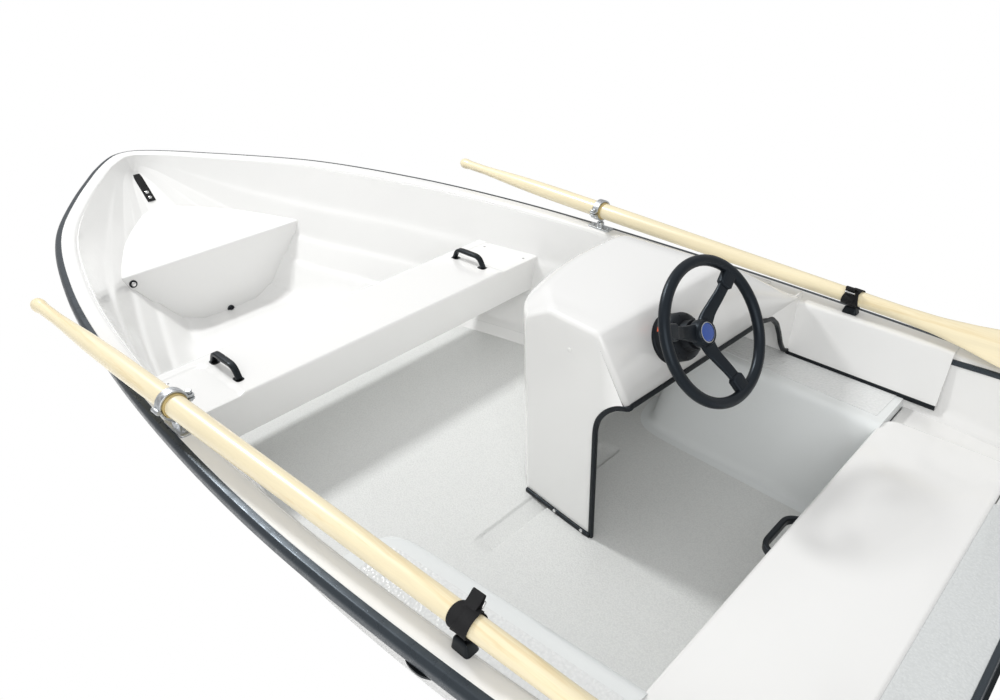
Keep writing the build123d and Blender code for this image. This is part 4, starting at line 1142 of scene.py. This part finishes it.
# The black edge trim: up the port wall, under the dash, down the arch and back along the panel's low edge.
def makeTrims():
    d = console
    half = d["wall"] / 2
    port = roundPath(d["portEdge"], 18, 7)
    port = np.stack([portX(port[:, 0]) + half, port[:, 0], port[:, 1]], 1)
    x = np.linspace(port[-1, 0] + 12, d["arch"][0][0] - 6, 12)
    dash = np.stack([x, dashAt(x, d["dashLow"]) + 2.5, np.full(12, d["dashLow"])], 1)
    arch = np.array(d["arch"], float)[1:]
    web = d["archPlane"] + 2 - (arch[:, 0] - dashCorner[0]) * math.sin(yaw) + half
    arch = np.stack([arch[:, 0], web, arch[:, 1]], 1)
    (s0, x0, _, _), (s1, x1, _, _) = d["panel"]
    along = np.linspace(s1 - 95, s0, 8)
    low = x0 + (x1 - x0) * (along - s0) / (s1 - s0) + half
    panel = np.stack([low, along, np.full(8, d["panelLow"])], 1)
    path = roundPath(np.concatenate([port, dash, arch, panel]), 9, 4)
    path = evenPath(path, 420)
    keys = np.concatenate([port[[0, -1]], dash[[1, -2]], arch[[1, -2]], panel[[1, -1]]])
    facing = np.array([[-1, 0, 0], [-1, 0, 0], dashOut, dashOut, [0, -1, 0], [0, -1, 0.1], [-1, 0, 0.1],
                       [-1, 0, 0.1]])
    at = np.array([np.argmin(np.linalg.norm(path - k, axis=1)) for k in keys])
    ups = unit(np.stack([np.interp(np.arange(420), at, facing[:, k]) for k in range(3)], 1))
    shift = np.array([0, transomY, 0])
    thick, wide = d["trim"]
    trim = sweep("consoleTrim", path + shift, roundedBox(wide, thick, 4, 5), trimBlack, up=ups)
    aft, fore, high = d["footTrim"]
    s = np.linspace(aft, fore, 20)
    foot = place(portX(s) - 1, s, high)
    low = sweep("consoleFootTrim", foot, roundedBox(12, 14, 3.5, 4), trimBlack)
    spots = [place(portX(s) - 8, s, high + 5) for s in d["footScrews"]]
    heads("consoleFootScrews", spots, (-1, 0, 0.1), 5, 2.4, chrome)
    return joined("consoleTrim", [trim, low])


# Black edge strip along the hull's inside aft of the panel, and a blank plate under it: distances from the
# transom and heights.
edgeStrip = {"line": [(420, 536), (357, 540), (250, 548), (90, 556)], "wide": 9.0, "high": 15.0}
blankPlate = {"along": (204.0, 268.0), "height": (452.0, 522.0), "thick": 1.0}


# A rounded bar along the line, pressed a millimetre into the hull's skin.
def makeEdgeStrip():
    line = evenPath(roundPath(edgeStrip["line"], 40, 6), 60)
    x = hullX(line[:, 0], line[:, 1], 10 + edgeStrip["wide"] / 2 - 1)
    path = place(x, line[:, 0], line[:, 1])
    return sweep("edgeStrip", path, roundedBox(edgeStrip["wide"], edgeStrip["high"], 3.5, 5), railBlack)


# A patch of the hull's inside, moved in by a little more than its own thickness.
def makeBlankPlate():
    d = blankPlate
    s, z = np.meshgrid(np.linspace(*d["along"], 20), np.linspace(*d["height"], 20), indexing="ij")
    return sheetMesh("sidePlate", place(hullX(s, z, 11.4), s, z), d["thick"], plateGrey, hint=(-1, 0, 0))


def makeConsoleSet():
    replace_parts(makeConsole(), "steering_console")
    makePanel()
    makeWeb()
    makeTrims()
    makeBlankPlate()
    makeEdgeStrip()
    s, z = console["dimple"]
    heads("consoleDimple", [place(portX(s) - 0.2, s, z)], (-1, 0.1, 0), 6, 1.6, white)


makeConsoleSet()
print("console made")

# Steering wheel and helm on one axis square to the dash. The helm's profile is (along the axis, radius), and
# its holes are a count, their circle's radius and their place along the axis.
wheel = {
    "centre": (133.37, -995.79, 731.83), "rim": 159.5, "grip": 13.0, "dish": 34.0, "hub": (32.0, 26.0),
    "spokes": (40, 160, 280), "spoke": (32.0, 11.0), "sleeve": (38.0, 21.0, 44.0), "cap": (21.5, 5.0),
}
helm = {
    "profile": [(0, 0), (0, 60.5), (5, 60.5), (7, 59.5), (8, 58), (44, 57), (50, 54.5), (56, 47), (58, 36),
                (77, 34), (78, 33), (78, 0)],
    "holes": (12, 50.5, 52.6), "offset": 131.0,
    "mark": {"turn": 138.0, "out": 57.0, "along": 28.0, "wide": 13.0, "long": 26.0},
}


# The rim is a small circle carried round a large one. Each spoke is a flat bar from the hub to the rim,
# broader at the hub, with a sleeve at its outer end. The hub, its shaft and its cap are turned profiles.
def makeWheel():
    d = wheel
    centre = np.array(d["centre"])
    side, over = dashAcross, -dashDown
    angle = np.linspace(0, 2 * math.pi, 120, endpoint=False)[:, None]
    path = centre + d["rim"] * (np.cos(angle) * side + np.sin(angle) * over)
    tube = circle(d["grip"], 28)
    parts = [sweep("wheelRim", path, tube, gripBlack, up=dashOut, closed=True, body="wheel")]
    hubRadius, hubDeep = d["hub"]
    back = centre - dashOut * (d["dish"] + hubDeep / 2)
    profile = [(0, 0), (0, hubRadius - 3), (3, hubRadius), (hubDeep - 5, hubRadius),
               (hubDeep - 1, hubRadius - 3), (hubDeep, hubRadius - 7), (hubDeep, 0)]
    parts.append(turned("wheelHub", profile, back, dashOut, gripBlack, 56, body="wheel"))
    shaft = [(-7, 0), (-7, 10), (1, 10), (1, 0)]
    parts.append(turned("wheelShaft", shaft, back, dashOut, zinc, 24, body="wheel"))
    for number, degrees in enumerate(d["spokes"]):
        a = math.radians(degrees)
        outward = side * math.cos(a) + over * math.sin(a)
        cross = np.cross(dashOut, outward)
        flat = roundPath([(18, -d["dish"]), (50, -d["dish"] + 1), (112, -8), (d["rim"] - 3, -1)], 22, 7)
        flat = evenPath(flat, 30)
        line = centre + flat[:, :1] * outward + flat[:, 1:] * dashOut
        square = np.cross(cross, unit(np.gradient(line, axis=0)))
        wide = 1 + 0.28 * (1 - smoothStep(flat[:, 0], 22, 70)) - 0.1 * smoothStep(flat[:, 0], 60, 110)
        section = roundedBox(*d["spoke"], 4, 5)
        parts.append(sweep(f"spoke{number}", line, section, gripBlack, up=square, scale=wide, body="wheel"))
        width, high, long = d["sleeve"]
        fat = evenPath(flat[flat[:, 0] > d["rim"] - long], 16)
        line = centre + fat[:, :1] * outward + fat[:, 1:] * dashOut
        square = np.cross(cross, unit(np.gradient(line, axis=0)))
        grow = np.minimum(1, 0.72 + 2.2 * np.linspace(0, 1, 16))
        section = roundedBox(width, high, 8, 6)
        parts.append(sweep(f"sleeve{number}", line, section, gripBlack, up=square, scale=grow, body="wheel"))
    rim = joined("steeringWheel", parts)
    radius, high = d["cap"]
    front = back + dashOut * (hubDeep - 0.2)
    dome = [(0, 0), (0, radius), (high * 0.5, radius), (high * 0.9, radius - 2), (high, radius - 5),
            (high + 0.6, 0)]
    cap = turned("hubCap", dome, front, dashOut, capBlue, 48, body="wheel")
    ring = [(0, radius + 0.2), (0, radius + 2.6), (4.2, radius + 2.2), (4.6, radius + 0.2)]
    turned("hubRing", ring, front, dashOut, zinc, 48, body="wheel")
    bezel = [(-3, radius + 2.8), (-3, radius + 9), (2.5, radius + 7.5), (5, radius + 5), (5.2, radius + 2.8)]
    turned("hubBezel", bezel, front, dashOut, gripBlack, 56, body="wheel")
    return rim, cap


# The drum is its profile turned about the wheel's axis, with its holes and a mark on its side.
def makeHelm():
    foot = np.array(wheel["centre"]) - dashOut * helm["offset"]
    obj = turned("helmHousing", helm["profile"], foot, dashOut, helmBlack, 72, sharp=30)
    count, radius, along = helm["holes"]
    a = np.linspace(0, 2 * math.pi, count, endpoint=False)[:, None]
    spots = foot + dashOut * along + radius * (np.cos(a) * dashAcross + np.sin(a) * dashDown)
    heads("helmHoles", list(spots), dashOut, 2.6, 1.4, trimBlack, count=10)
    mark = helm["mark"]
    a = math.radians(mark["turn"])
    outward = dashAcross * math.cos(a) - dashDown * math.sin(a)
    spot = foot + outward * mark["out"] + dashOut * mark["along"]
    outline = roundedBox(mark["wide"], mark["long"], 2, 4)
    plate("helmMark", outline, softRings(1.6, 0.7), spot, np.cross(dashOut, outward), dashOut, markOrange)
    return obj


wheelParts = makeWheel()
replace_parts(wheelParts[0], "steering_wheel")
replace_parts(wheelParts[1], "wheel_hub_cap")
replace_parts(makeHelm(), "helm_housing")
print("wheel and helm made")

# Oars. Distances run along the oar, forward of the oarlock, with half the breadth across the blade and half
# the thickness square to it. The grip and loom are round. Liner and ring are inner radius, wall and width.
oar = {
    "lock": (764.0, 1512.0, 640.0), "toeIn": 3.0, "dip": 1.3, "bladeTilt": 30.0,
    "loom": [(726, 9), (722, 15), (712, 19), (702, 20), (690, 19), (678, 17), (590, 16.5), (560, 17),
             (400, 23.5), (250, 26), (-120, 26), (-600, 22.5)],
    "bladeHalf": [(-1000, 20), (-1100, 26), (-1180, 38), (-1250, 52), (-1310, 61), (-1360, 64), (-1600, 64.5),
                  (-1660, 62), (-1684, 52), (-1692, 36)],
    "bladeThick": [(-1000, 19.5), (-1100, 15), (-1250, 10), (-1340, 8.5), (-1600, 6), (-1670, 4), (-1692, 3)],
    "spread": (1100.0, 1350.0), "ridge": (4.5, 16.0, 1600.0),
    "liner": (26.3, 2.4, 34.0), "ring": (29.0, 7.0, 24.0),
}
# Each loop is its lean along the oar, where it leans most, its share of the width, and its lift off the loom.
strap = {
    "at": 632.0, "radius": 20.8, "width": 44.0, "thick": 2.0,
    "loops": [(0.52, 0.9, 0.78, 1.4), (-0.5, 0.5, 0.7, 3.2)],
    "tab": [(-6, 14), (10, 7), (28, 4), (27, -1), (-2, -3)], "tabLift": 48.0,
}


# The oarlock's place, and the directions along the oar, across its blade towards the boat, and level inboard.
def oarAxes(side):
    toe, dip, lean = (math.radians(oar[k]) for k in ("toeIn", "dip", "bladeTilt"))
    x, s, z = oar["lock"]
    lock = place(side * x, s, z)
    along = np.array([side * math.sin(toe) * math.cos(dip), math.cos(toe) * math.cos(dip), math.sin(dip)])
    inboard = np.array([-side * math.cos(lean), 0, -math.sin(lean)])
    inboard = unit(inboard - along * np.dot(inboard, along))
    levelIn = np.array([-side * math.cos(toe), math.sin(toe), 0])
    return lock, along, inboard, levelIn


# Each section is an ellipse from the tables of half breadth and half thickness, thinner towards the blade's
# edges.
def makeOar(side, sideName):
    lock, along, inboard, levelIn = oarAxes(side)
    over = np.cross(inboard, along)
    half = np.array(oar["loom"] + oar["bladeHalf"], float)[::-1]
    thick = np.array(oar["loom"] + oar["bladeThick"], float)[::-1]
    t = np.r_[np.linspace(-1692, -1640, 26), np.linspace(-1630, -1000, 90), np.linspace(-980, 560, 60),
              np.linspace(568, 726, 60)]
    a = np.interp(t, half[:, 0], half[:, 1])
    b = np.interp(t, thick[:, 0], thick[:, 1])
    smooth = np.array([0.25, 0.5, 0.25])
    for _ in range(3):
        a[1:-1], b[1:-1] = np.convolve(a, smooth, "valid"), np.convolve(b, smooth, "valid")
    angle = np.linspace(0, 2 * math.pi, 40, endpoint=False)
    flat = smoothStep(-t, *oar["spread"])[:, None]
    c, n = np.cos(angle)[None], np.sin(angle)[None]
    x = a[:, None] * c
    y = b[:, None] * n * (1 - 0.35 * flat * (1 - n ** 2))
    # A ridge runs down the middle of the blade and fades out.
    high, wide, end = oar["ridge"]
    fade = 1 - smoothStep(-t, oar["spread"][1], end)[:, None]
    ridge = flat * high * np.exp(-(x / wide) ** 2) * np.sign(n) * fade
    y = y + ridge * np.minimum(1, np.abs(n) * 2)
    points = lock + t[:, None, None] * along + x[..., None] * inboard + y[..., None] * over
    body = f"{sideName}_oar"
    wooden = gridMesh(f"{sideName}Oar", points, wood, wrapV=True, capU=True, sharp=60, body=body)
    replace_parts(wooden, f"oar_{sideName}")
    return lock, along, levelIn, body


# A band lying round an axis: a closed profile of (along, radius) turned about it, or part of a turn.
def ringPart(name, profile, origin, along, start, first, last, material, body, count=48):
    profile = np.asarray(profile, float)
    start = unit(start)
    third = np.cross(along, start)
    angle = np.radians(np.linspace(first, last, count))
    ring = np.cos(angle)[:, None] * start + np.sin(angle)[:, None] * third
    points = np.asarray(origin, float) + ring[:, None] * profile[None, :, 1:] + along * profile[None, :, :1]
    return gridMesh(name, points, material, wrapV=True, capU=True, body=body, sharp=40)


# The liner and the gate's two halves are bands round the oar; the hinge, bolt, pin, boss and nuts are turned
# profiles, and the lugs and the base are plates.
def makeOarlock(side, sideName):
    lock, along, levelIn, body = makeOar(side, sideName)
    up = np.cross(levelIn, along) * side
    if up[2] < 0:
        up = -up
    inner, wall, width = oar["liner"]
    box = roundedBox(width, wall, 1.0, 3) + np.array([0, inner + wall / 2])
    liner = ringPart(f"{sideName}Liner", box, lock, along, levelIn, 0, 352.5, linerYellow, body, 64)
    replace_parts(liner, f"oarlock_liner_{sideName}")
    ringIn, ringWall, ringWide = oar["ring"]
    band = roundedBox(ringWide, ringWall - 1, 2.4, 5) + np.array([0, ringIn + ringWall / 2])
    parts = [ringPart("gateHalf", band, lock, along, -levelIn, 8, 174, zinc, body),
             ringPart("gateHalf", band, lock, along, -levelIn, 186, 352, zinc, body)]
    # Hinge barrel outboard, bolted lugs inboard.
    reach = ringIn + ringWall
    hinge = lock - levelIn * (reach + 1.5) - along * 13
    barrel = [(0, 0), (0, 5.5), (1, 6.2), (25, 6.2), (26, 5.5), (26, 0)]
    parts.append(turned("hinge", barrel, hinge, along, zinc, 20, body=body))
    for lift in (1, -1):
        lug = lock + levelIn * (reach + 4) + up * lift * 4.2
        outline = roundedBox(18, ringWide, 6, 5)
        lug = lug - up * 2.2
        parts.append(plate("lug", outline, softRings(4.4, 1.2), lug, levelIn, np.cross(up, levelIn), zinc,
                           body=body))
    bolt = lock + levelIn * (reach + 5) - up * 13
    shank = [(0, 0), (0, 6.4), (5, 6.4), (5, 3.6), (21, 3.6), (21, 7.2), (26, 7.2), (27, 6), (27, 0)]
    parts.append(turned("bolt", shank, bolt, up, zinc, 24, body=body))
    sheer = float(sheerAt(oar["lock"][1]))
    foot = np.array([lock[0], lock[1], sheer + 1.4])
    high = lock[2] - ringIn - 2 - foot[2]
    pin = [(0, 0), (0, 6), (0.6, 6.4), (high - 10, 6.4), (high - 4, 9), (high, 11), (high, 0)]
    parts.append(turned("pin", pin, foot, (0, 0, 1), zinc, 28, body=body))
    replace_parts(joined(f"{sideName}Gate", parts), f"oarlock_gate_{sideName}")
    slope = unit([0, 1, (float(sheerAt(1560)) - float(sheerAt(1460))) / 100])
    origin = np.array([lock[0], lock[1], sheer + 0.3])
    boss = [(0, 7.2), (0, 13.5), (12, 12.5), (15.5, 12), (17, 10.5), (17, 7.2)]
    nut = [(0, 0), (0, 6.6), (3.6, 6.6), (4.6, 5.6), (4.6, 0)]
    base = [plate("base", roundedBox(34, 88, 9, 6), softRings(5, 1.5), origin, (1, 0, 0), slope, zinc),
            turned("boss", boss, origin + [0, 0, 4], (0, 0, 1), zinc, 36)]
    for reach in (-31, 31):
        spot = origin + slope * reach + np.array([0, 0, 4.6])
        base.append(turned("nut", nut, spot, (0, 0, 1), zinc, 6))
    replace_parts(joined(f"{sideName}LockBase", base), f"oarlock_base_{sideName}")
    makeStrap(sideName, lock, along, levelIn, up, body)


# Webbing strap: two crossed loops round the oar, a folded tab inboard with a clip, and a pointed end below.
def makeStrap(sideName, lock, along, levelIn, up, body):
    d = strap
    radius, width, thick = d["radius"], d["width"], d["thick"]
    centre = lock + along * ((d["at"] - oar["lock"][1]) / math.cos(math.radians(oar["toeIn"])))
    angle = np.linspace(0, 2 * math.pi, 80, endpoint=False)[:, None]
    outward = np.cos(angle) * levelIn + np.sin(angle) * up
    parts = []
    for lean, phase, share, lift in d["loops"]:
        path = centre + outward * (radius + lift) + along * lean * radius * np.sin(angle - phase)
        wide = 1 - 0.22 * np.sin(angle[:, 0] - phase) ** 2
        section = roundedBox(width * share, thick, 0.8, 3)
        parts.append(sweep("strapLoop", path, section, strapBlack, up=outward, closed=True, scale=wide,
                           body=body))
    flat = evenPath(roundPath(np.array(d["tab"], float) + [radius, 0], [0, 8, 4, 4, 0], 5), 40)
    lift = math.radians(d["tabLift"])
    tabOut = levelIn * math.cos(lift) + up * math.sin(lift)
    tabUp = up * math.cos(lift) - levelIn * math.sin(lift)
    path = centre + flat[:, :1] * tabOut + flat[:, 1:] * tabUp
    square = np.cross(unit(np.gradient(path, axis=0)), along)
    section = roundedBox(width * 0.56, thick, 0.8, 3)
    parts.append(sweep("strapTab", path, section, strapBlack, up=square, body=body))
    t = np.linspace(0, 1, 24)[:, None]
    path = centre - up * (radius + 1 + 11 * t ** 1.4) - along * (2 + 30 * t) - levelIn * (4 * t)
    narrow = 1 - 0.86 * t[:, 0]
    section = roundedBox(22, thick, 0.8, 3)
    parts.append(sweep("strapEnd", path, section, strapBlack, up=up, scale=narrow, body=body))
    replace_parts(joined(f"{sideName}Strap", parts), f"oar_strap_{sideName}")
    spot = centre + tabOut * (radius + 11) - tabUp * 8.4
    plate(f"{sideName}StrapClip", roundedBox(14, 27, 3, 4), softRings(4.5, 1.2), spot, tabOut,
          np.cross(tabUp, tabOut), chrome, body=body)


# Tapered block under each strap. The starboard one stands on the console's flange, so it is shorter.
rest = {"x": 726.0, "at": 632.0, "wide": 30.0, "long": 40.0, "foot": {"starboard": 6.5, "port": 0.4}}


def makeRest(side, sideName):
    d = rest
    foot = d["foot"][sideName]
    base = place(side * d["x"], d["at"], float(sheerAt(d["at"])) + foot)
    rings = [(0, 0), (1.2, 5), (3.4, 17 - foot), (4.6, 22 - foot), (6.4, 24 - foot), (9, 24.5 - foot)]
    outline = roundedBox(d["wide"], d["long"], 8, 6)
    block = plate(f"{sideName}Rest", outline, rings, base, (1, 0, 0), (0, 1, 0), trimBlack)
    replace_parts(block, f"oar_rest_{sideName}")


for side, sideName in ((1, "starboard"), (-1, "port")):
    makeOarlock(side, sideName)
    makeRest(side, sideName)
print("oars, oarlocks and straps made")

# A thin rounded eye under each rail: its outline in plan is a flat lens.
gripEye = {"aft": 649.5, "fore": 714.3, "proud": 10.0, "x": 785.0, "low": 525.5, "thick": 7.0}


def makeGripEye(side, sideName):
    d = gripEye
    half = (d["fore"] - d["aft"]) / 2
    lens = [(-5, -half), (1, -half), (d["proud"], -half * 0.45), (d["proud"], half * 0.45), (1, half),
            (-5, half)]
    outline = roundPath(lens, [1, 3, 16, 16, 3, 1], 6, closed=True)
    foot = d["low"] + (d["thick"] if side < 0 else 0)
    origin = place(side * d["x"], (d["aft"] + d["fore"]) / 2, foot)
    rings = softRings(d["thick"], 2.5)
    eye = plate(f"{sideName}GripEye", outline, rings, origin, (side, 0, 0), (0, 1, 0), trimBlack)
    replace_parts(eye, f"side_grip_{sideName}")


for side, sideName in ((1, "starboard"), (-1, "port")):
    makeGripEye(side, sideName)

# Small fittings at the bow and transom.
bowFit = {"strap": (3404.0, 3506.0), "strapHalf": 18.0, "knob": (-350.0, 348.0), "drain": (0.0, 104.0)}


# The strap is a flat bar along the keel's line inside the bow. The knob and the drain plug are profiles
# turned about the bulkhead's normal.
def makeBowFittings():
    d = bowFit
    s = np.linspace(*d["strap"], 40)
    keel = lineAt(s, 2) + hullLines["skin"] + 4
    path = np.stack([np.zeros(40), s + transomY, keel], 1)
    band = sweep("bowStrap", path, roundedBox(2 * d["strapHalf"], 3, 1.2, 4), strapBlack)
    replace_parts(band, "bow_strap")
    normal = unit([0, -(keel[-1] - keel[0]), s[-1] - s[0]])
    spots = [path[k] + normal * 1.5 for k in (5, 12)]
    heads("bowStrapRivets", spots, normal, 7.5, 3, chrome, count=18)
    face, aft = bowSeat["bulkhead"] - 0.2, (0, -1, 0)
    x, z = d["knob"]
    ring = [(0, 0), (0, 15), (2.5, 15), (3.5, 13), (4, 9.5), (3.6, 0)]
    button = [(2, 0), (2, 9.5), (8, 8.5), (11, 6), (11.8, 0)]
    knob = joined("bulkheadKnob", [turned("bulkheadKnob", ring, place(x, face, z), aft, helmBlack, 36),
                                   turned("knobButton", button, place(x, face, z), aft, chrome, 36)])
    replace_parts(knob, "bulkhead_knob")
    x, z = d["drain"]
    plug = [(0, 0), (0, 15), (3, 15), (4.5, 13), (5, 8), (10.5, 7), (11.8, 5), (11.8, 0)]
    drain = turned("bowDrain", plug, place(x, face, z), aft, helmBlack, 36)
    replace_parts(drain, "bow_drain_plug")


# Trim round the transom's motor cut-out: half widths at its foot and top, and their heights.
transomTrim = {
    "half": 400.0, "height": 390.0, "topHalf": 470.0, "topHeight": 560.0,
    "wide": 13.0, "rise": 12.0, "round": 42.0,
}
aftDeck = {"half": 399.0, "aft": 31.0, "fore": 146.5, "low": 390.2, "top": 399.3}


# A rounded bar along the cut-out's edge, leaning forward with the transom.
def makeTransomTrim():
    d = transomTrim
    rake = math.tan(math.radians(hullLines["rake"]))
    low, high = d["height"], d["topHeight"]
    points = [(-d["topHalf"], high), (-d["half"], low), (d["half"], low), (d["topHalf"], high)]
    flat = roundPath(points, d["round"], 9)
    s = (hullLines["transomTop"] - flat[:, 1]) * rake + d["wide"] / 2 - 3
    path = place(flat[:, 0], s, flat[:, 1] + 0.5)
    ups = np.cross(unit(np.gradient(path, axis=0)), [0, 1, -rake])
    return sweep("transomTrim", path, roundedBox(d["wide"], d["rise"] * 2, 4, 5), railBlack, up=ups)


# Non-slip top between the lid and the transom's edge, over the cut-out.
def makeAftDeck():
    d = aftDeck
    deep = d["fore"] - d["aft"]
    origin = place(0, (d["aft"] + d["fore"]) / 2, d["low"])
    outline = roundedBox(2 * d["half"], deep, 2, 3)
    rings = softRings(d["top"] - d["low"], 1.5)
    return plate("aftDeckTop", outline, rings, origin, (1, 0, 0), (0, 1, 0), deckGrey)


makeBowFittings()
makeTransomTrim()
makeAftDeck()
print("fittings made")

# Camera solved from the photograph.
view = {
    "place": (-1.2283, -1.6865, 1.5739),
    "heading": 45.0,
    "pitch down": 30.98,
    "roll": -2.0,
    "focal length": 27.36,
    "sensor width": 36.0,
}


def makeCamera():
    data = bpy.data.cameras.new("photoCamera")
    camera = bpy.data.objects.new("photoCamera", data)
    bpy.context.scene.collection.objects.link(camera)
    h, p, r = (math.radians(view[k]) for k in ("heading", "pitch down", "roll"))
    ahead = Vector((math.sin(h) * math.cos(p), math.cos(h) * math.cos(p), -math.sin(p)))
    right = Vector((math.cos(h), -math.sin(h), 0))
    over = right.cross(ahead)
    rightRolled = right * math.cos(r) + over * math.sin(r)
    overRolled = over * math.cos(r) - right * math.sin(r)
    turn = Matrix((rightRolled, overRolled, -ahead)).transposed().to_4x4()
    camera.matrix_world = Matrix.Translation(view["place"]) @ turn
    data.lens = view["focal length"]
    data.sensor_width = view["sensor width"]
    data.clip_start = 0.05
    bpy.context.scene.camera = camera


# Floor and soft studio light: a big panel overhead, two at the sides, and a plain pale world.
studio = {
    "floor": (0.93, 0.93, 0.93),
    "floor size": 60.0,
    "world": 0.53,
    "lamps": [((0.5, -0.5, 4.0), (0, 0.3, 0.4), 5.0, 26), ((-3.0, -3.0, 2.4), (0, 0.2, 0.5), 3.0, 74),
              ((-0.3, 2.6, 3.9), (0, -0.3, 0.3), 0.6, 118)],
}


def makeStudio():
    size = studio["floor size"] / 2
    mesh = bpy.data.meshes.new("studioFloor")
    corners = [(-size, -size, 0), (size, -size, 0), (size, size, 0), (-size, size, 0)]
    mesh.from_pydata(corners, [], [(0, 1, 2, 3)])
    floor = bpy.data.objects.new("studioFloor", mesh)
    bpy.context.scene.collection.objects.link(floor)
    material, tree, shader = newMaterial("studioFloor", studio["floor"], 0.9)
    path = tree.nodes.new("ShaderNodeLightPath")
    glow = tree.nodes.new("ShaderNodeEmission")
    glow.inputs["Color"].default_value = (1, 1, 1, 1)
    glow.inputs["Strength"].default_value = 1.0
    mix = tree.nodes.new("ShaderNodeMixShader")
    tree.links.new(path.outputs["Is Camera Ray"], mix.inputs[0])
    tree.links.new(shader.outputs[0], mix.inputs[1])
    tree.links.new(glow.outputs[0], mix.inputs[2])
    tree.links.new(mix.outputs[0], tree.nodes["Material Output"].inputs["Surface"])
    mesh.materials.append(material)
    world = bpy.data.worlds.new("studioWorld")
    bpy.context.scene.world = world
    world.use_nodes = True
    world.node_tree.nodes["Background"].inputs["Color"].default_value = (1, 1, 1, 1)
    world.node_tree.nodes["Background"].inputs["Strength"].default_value = studio["world"]
    for number, (spot, target, width, power) in enumerate(studio["lamps"]):
        data = bpy.data.lights.new(f"studioLamp{number}", "AREA")
        data.size = width
        data.energy = power
        lamp = bpy.data.objects.new(f"studioLamp{number}", data)
        bpy.context.scene.collection.objects.link(lamp)
        lamp.location = spot
        lamp.rotation_euler = (Vector(target) - Vector(spot)).to_track_quat("-Z", "Y").to_euler()


makeCamera()
makeStudio()
bpy.context.scene.view_settings.view_transform = "Standard"
